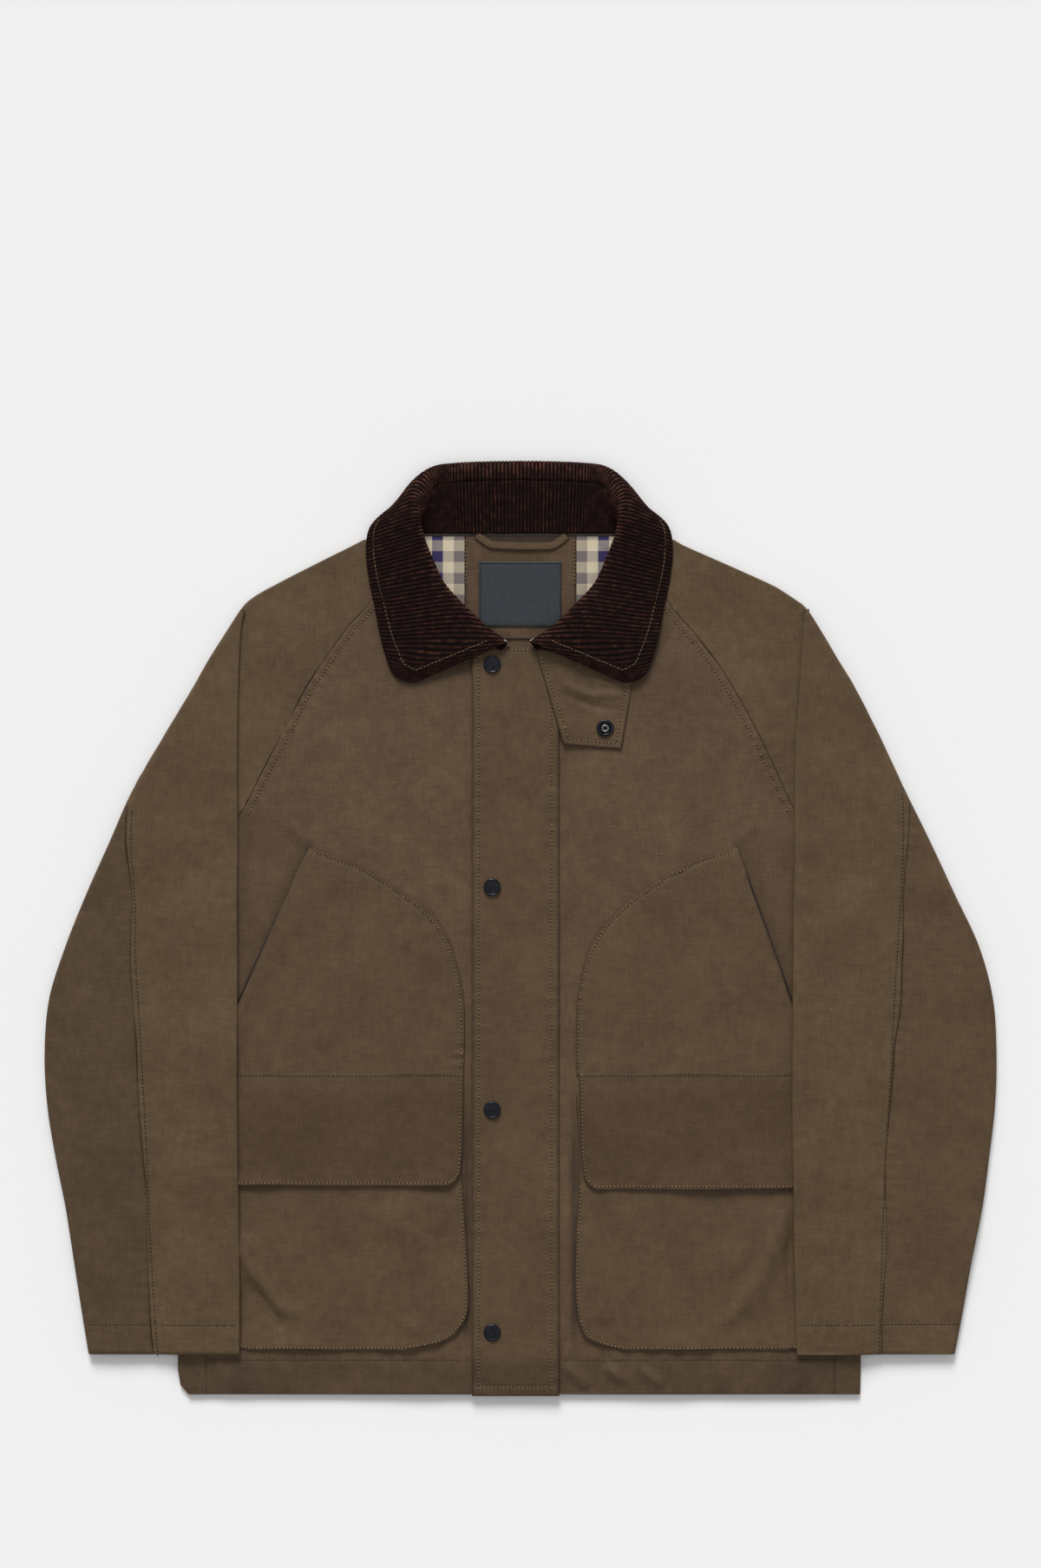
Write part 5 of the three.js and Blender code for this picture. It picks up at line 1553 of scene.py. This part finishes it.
# %% A line of stitches
def stitch_line(name, paths, thread, on, pitch=STITCH_PITCH, length=STITCH_LENGTH,
                radius=STITCH_RADIUS):
    points, faces, holes = [], [], []
    for path in paths:
        places = dense(path, pitch)
        for (x, y), way in zip(places, np.gradient(places, axis=0)):
            place, normal, face, _ = cloth_top.ray_cast(Vector((x * MM, y * MM, 1.0)), Vector((0, 0, -1)))
            if place is None or not owners[face].startswith(on):
                continue
            normal = normal if normal.z > 0 else -normal
            slope = Vector((way[0], way[1], 0)).normalized()
            forward = (slope - normal * slope.dot(normal)).normalized()
            ways = (forward, normal.cross(forward), normal)
            add_stitch(points, faces, place, ways, length, radius)
            stitched = len(faces)
            add_hole(points, faces, place + forward * pitch / 2 * MM + normal * HOLE_RISE, ways)
            holes.extend(range(stitched, len(faces)))
    mesh = bpy.data.meshes.new(name)
    mesh.from_pydata(points, [], faces)
    mesh.update()
    mesh.polygons.foreach_set("use_smooth", [True] * len(mesh.polygons))
    thing = bpy.data.objects.new(name, mesh)
    bpy.context.scene.collection.objects.link(thing)
    thing.data.materials.append(thread)
    thing.data.materials.append(hole_shade)
    for k in holes:
        mesh.polygons[k].material_index = 1
    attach(thing, "root")
    print(name, "stitches:", len(holes) // (2 * STITCH_SIDES))


# %% [markdown]
# Seams of the body first: raglan, sleeves, cuffs, storm flap, tab and hem. A seam that stands out in the
# jacket has a lighter thread, and one that hardly shows a dimmer one.

# %% Body stitches
SEWN_BODY = ("front_", "sleeve_")
CUFFS = [[(-374, CUFF_STITCH_Y), (-244, CUFF_STITCH_Y)], [(238, CUFF_STITCH_Y), (377, CUFF_STITCH_Y)]]
HEMS = [[(-270, HEM_STITCH_Y), (-44, HEM_STITCH_Y)], [(36, HEM_STITCH_Y), (271, HEM_STITCH_Y)]]
RAGLANS = [beside(smooth_line(RAGLAN_L), 6), beside(smooth_line(RAGLAN_R), -6)]
SLEEVE_SEAMS = [beside(smooth_line(SEAM_L), 5.0), beside(smooth_line(SEAM_R), -5.0)]
STORM_STITCHES = [FLAP_L_STITCH, FLAP_R_STITCH, FLAP_FOOT_STITCH]
stitch_line("raglan_stitches", RAGLANS, brown_thread, SEWN_BODY)
stitch_line("sleeve_seam_stitches", SLEEVE_SEAMS, dim_thread, "sleeve_")
stitch_line("cuff_stitches", CUFFS, dim_thread, "sleeve_")
stitch_line("storm_flap_stitches", STORM_STITCHES, brown_thread, "storm_flap")
stitch_line("tab_stitches", TAB_STITCHES, brown_thread, "throat_tab")
stitch_line("hem_stitches", HEMS, dim_thread, "front_")

# %% [markdown]
# The neck has finer stitches: along the edge of the collar, at its ends, and round the facing and label.

# %% Neck stitches
NECK_ENDS = [[(-14, 250), (-9, 247)], [(7, 248), (12, 252)]]
NECK_TOP = [[(-9, 241.5), (11, 241.5)]]
FACING_SIDES = [[(-47, 338), (-47, 300)], [(47, 338), (47, 300)]]
LABEL_FRAME = [(-34.5, 316.5), (34.5, 316.5), (34.5, 263.5), (-34.5, 263.5), (-34.5, 316.5)]


def collar_path(mirrored):
    foot = np.linspace(1.25, 1.84, 12)
    up = np.linspace(0.5, 5.0, 60)
    at = np.concatenate([np.full(foot.shape, 0.3), up])
    across = np.concatenate([foot, np.full(up.shape, 1.88)])
    at = 2 * COLLAR_END - at if mirrored else at
    return [tuple(p) for p in collar_point(at, across)[:, :2]]


stitch_line("collar_stitches", [collar_path(False), collar_path(True)], tan_thread, "collar",
            3.6, 2.3, 0.3)
stitch_line("neck_end_stitches", NECK_ENDS, pale_thread, ("collar", "storm_flap", "neck"), pitch=1.8)
stitch_line("neck_top_stitches", NECK_TOP, tan_thread, "storm_flap")
stitch_line("facing_stitches", FACING_SIDES, tan_thread, "neck_facing")
stitch_line("label_stitches", [LABEL_FRAME], dark_thread, "neck_label", 2.6, 1.7, 0.3)

# %% [markdown]
# The pockets come last. Their slanting mouths get a close row of dark bars, painted shadow that reads as
# the open slot behind the upper piece. Flap and bag are stitched 2.2 mm inside their edges.

# %% Pocket stitches
FLAP_STITCH_Y = -125.5
POCKET_OUTER_X = 243
POCKET_INSET = 2.2
BAG_SHOWS_Y = -205


def edge_line(rows, inner, sign, top_y):
    side = [(row[inner], row[0]) for row in rows[::-1] if row[0] < top_y]
    return beside(smooth_line([*side, (sign * POCKET_OUTER_X, side[-1][1])]), POCKET_INSET * sign)


for wearer, (inner, mouth, _, upper_seam, *_) in pocket_rows.items():
    sign = -1 if wearer == "right" else 1
    # Painted shadow: a row of dark bars along the open slot of the mouth.
    mouth_shadow_line = [(x + sign * 1.1, y + 0.6) for x, y in mouth]
    stitch_line(f"pocket_{wearer}_mouth_shadow", [mouth_shadow_line], hole_shade, "front_", pitch=1.4, length=2.0,
                radius=0.8)
    lines = [smooth_line(upper_seam), edge_line(flap_edges[wearer], inner, sign, 0),
             edge_line(node_edges(f"pocket_{wearer}_bag"), inner, sign, BAG_SHOWS_Y)]
    stitch_line(f"pocket_{wearer}_stitches", lines, brown_thread, "pocket_")
    across = [(sign * 53, FLAP_STITCH_Y), (sign * POCKET_OUTER_X, FLAP_STITCH_Y)]
    stitch_line(f"pocket_{wearer}_top_stitches", [across], dim_thread, "pocket_")
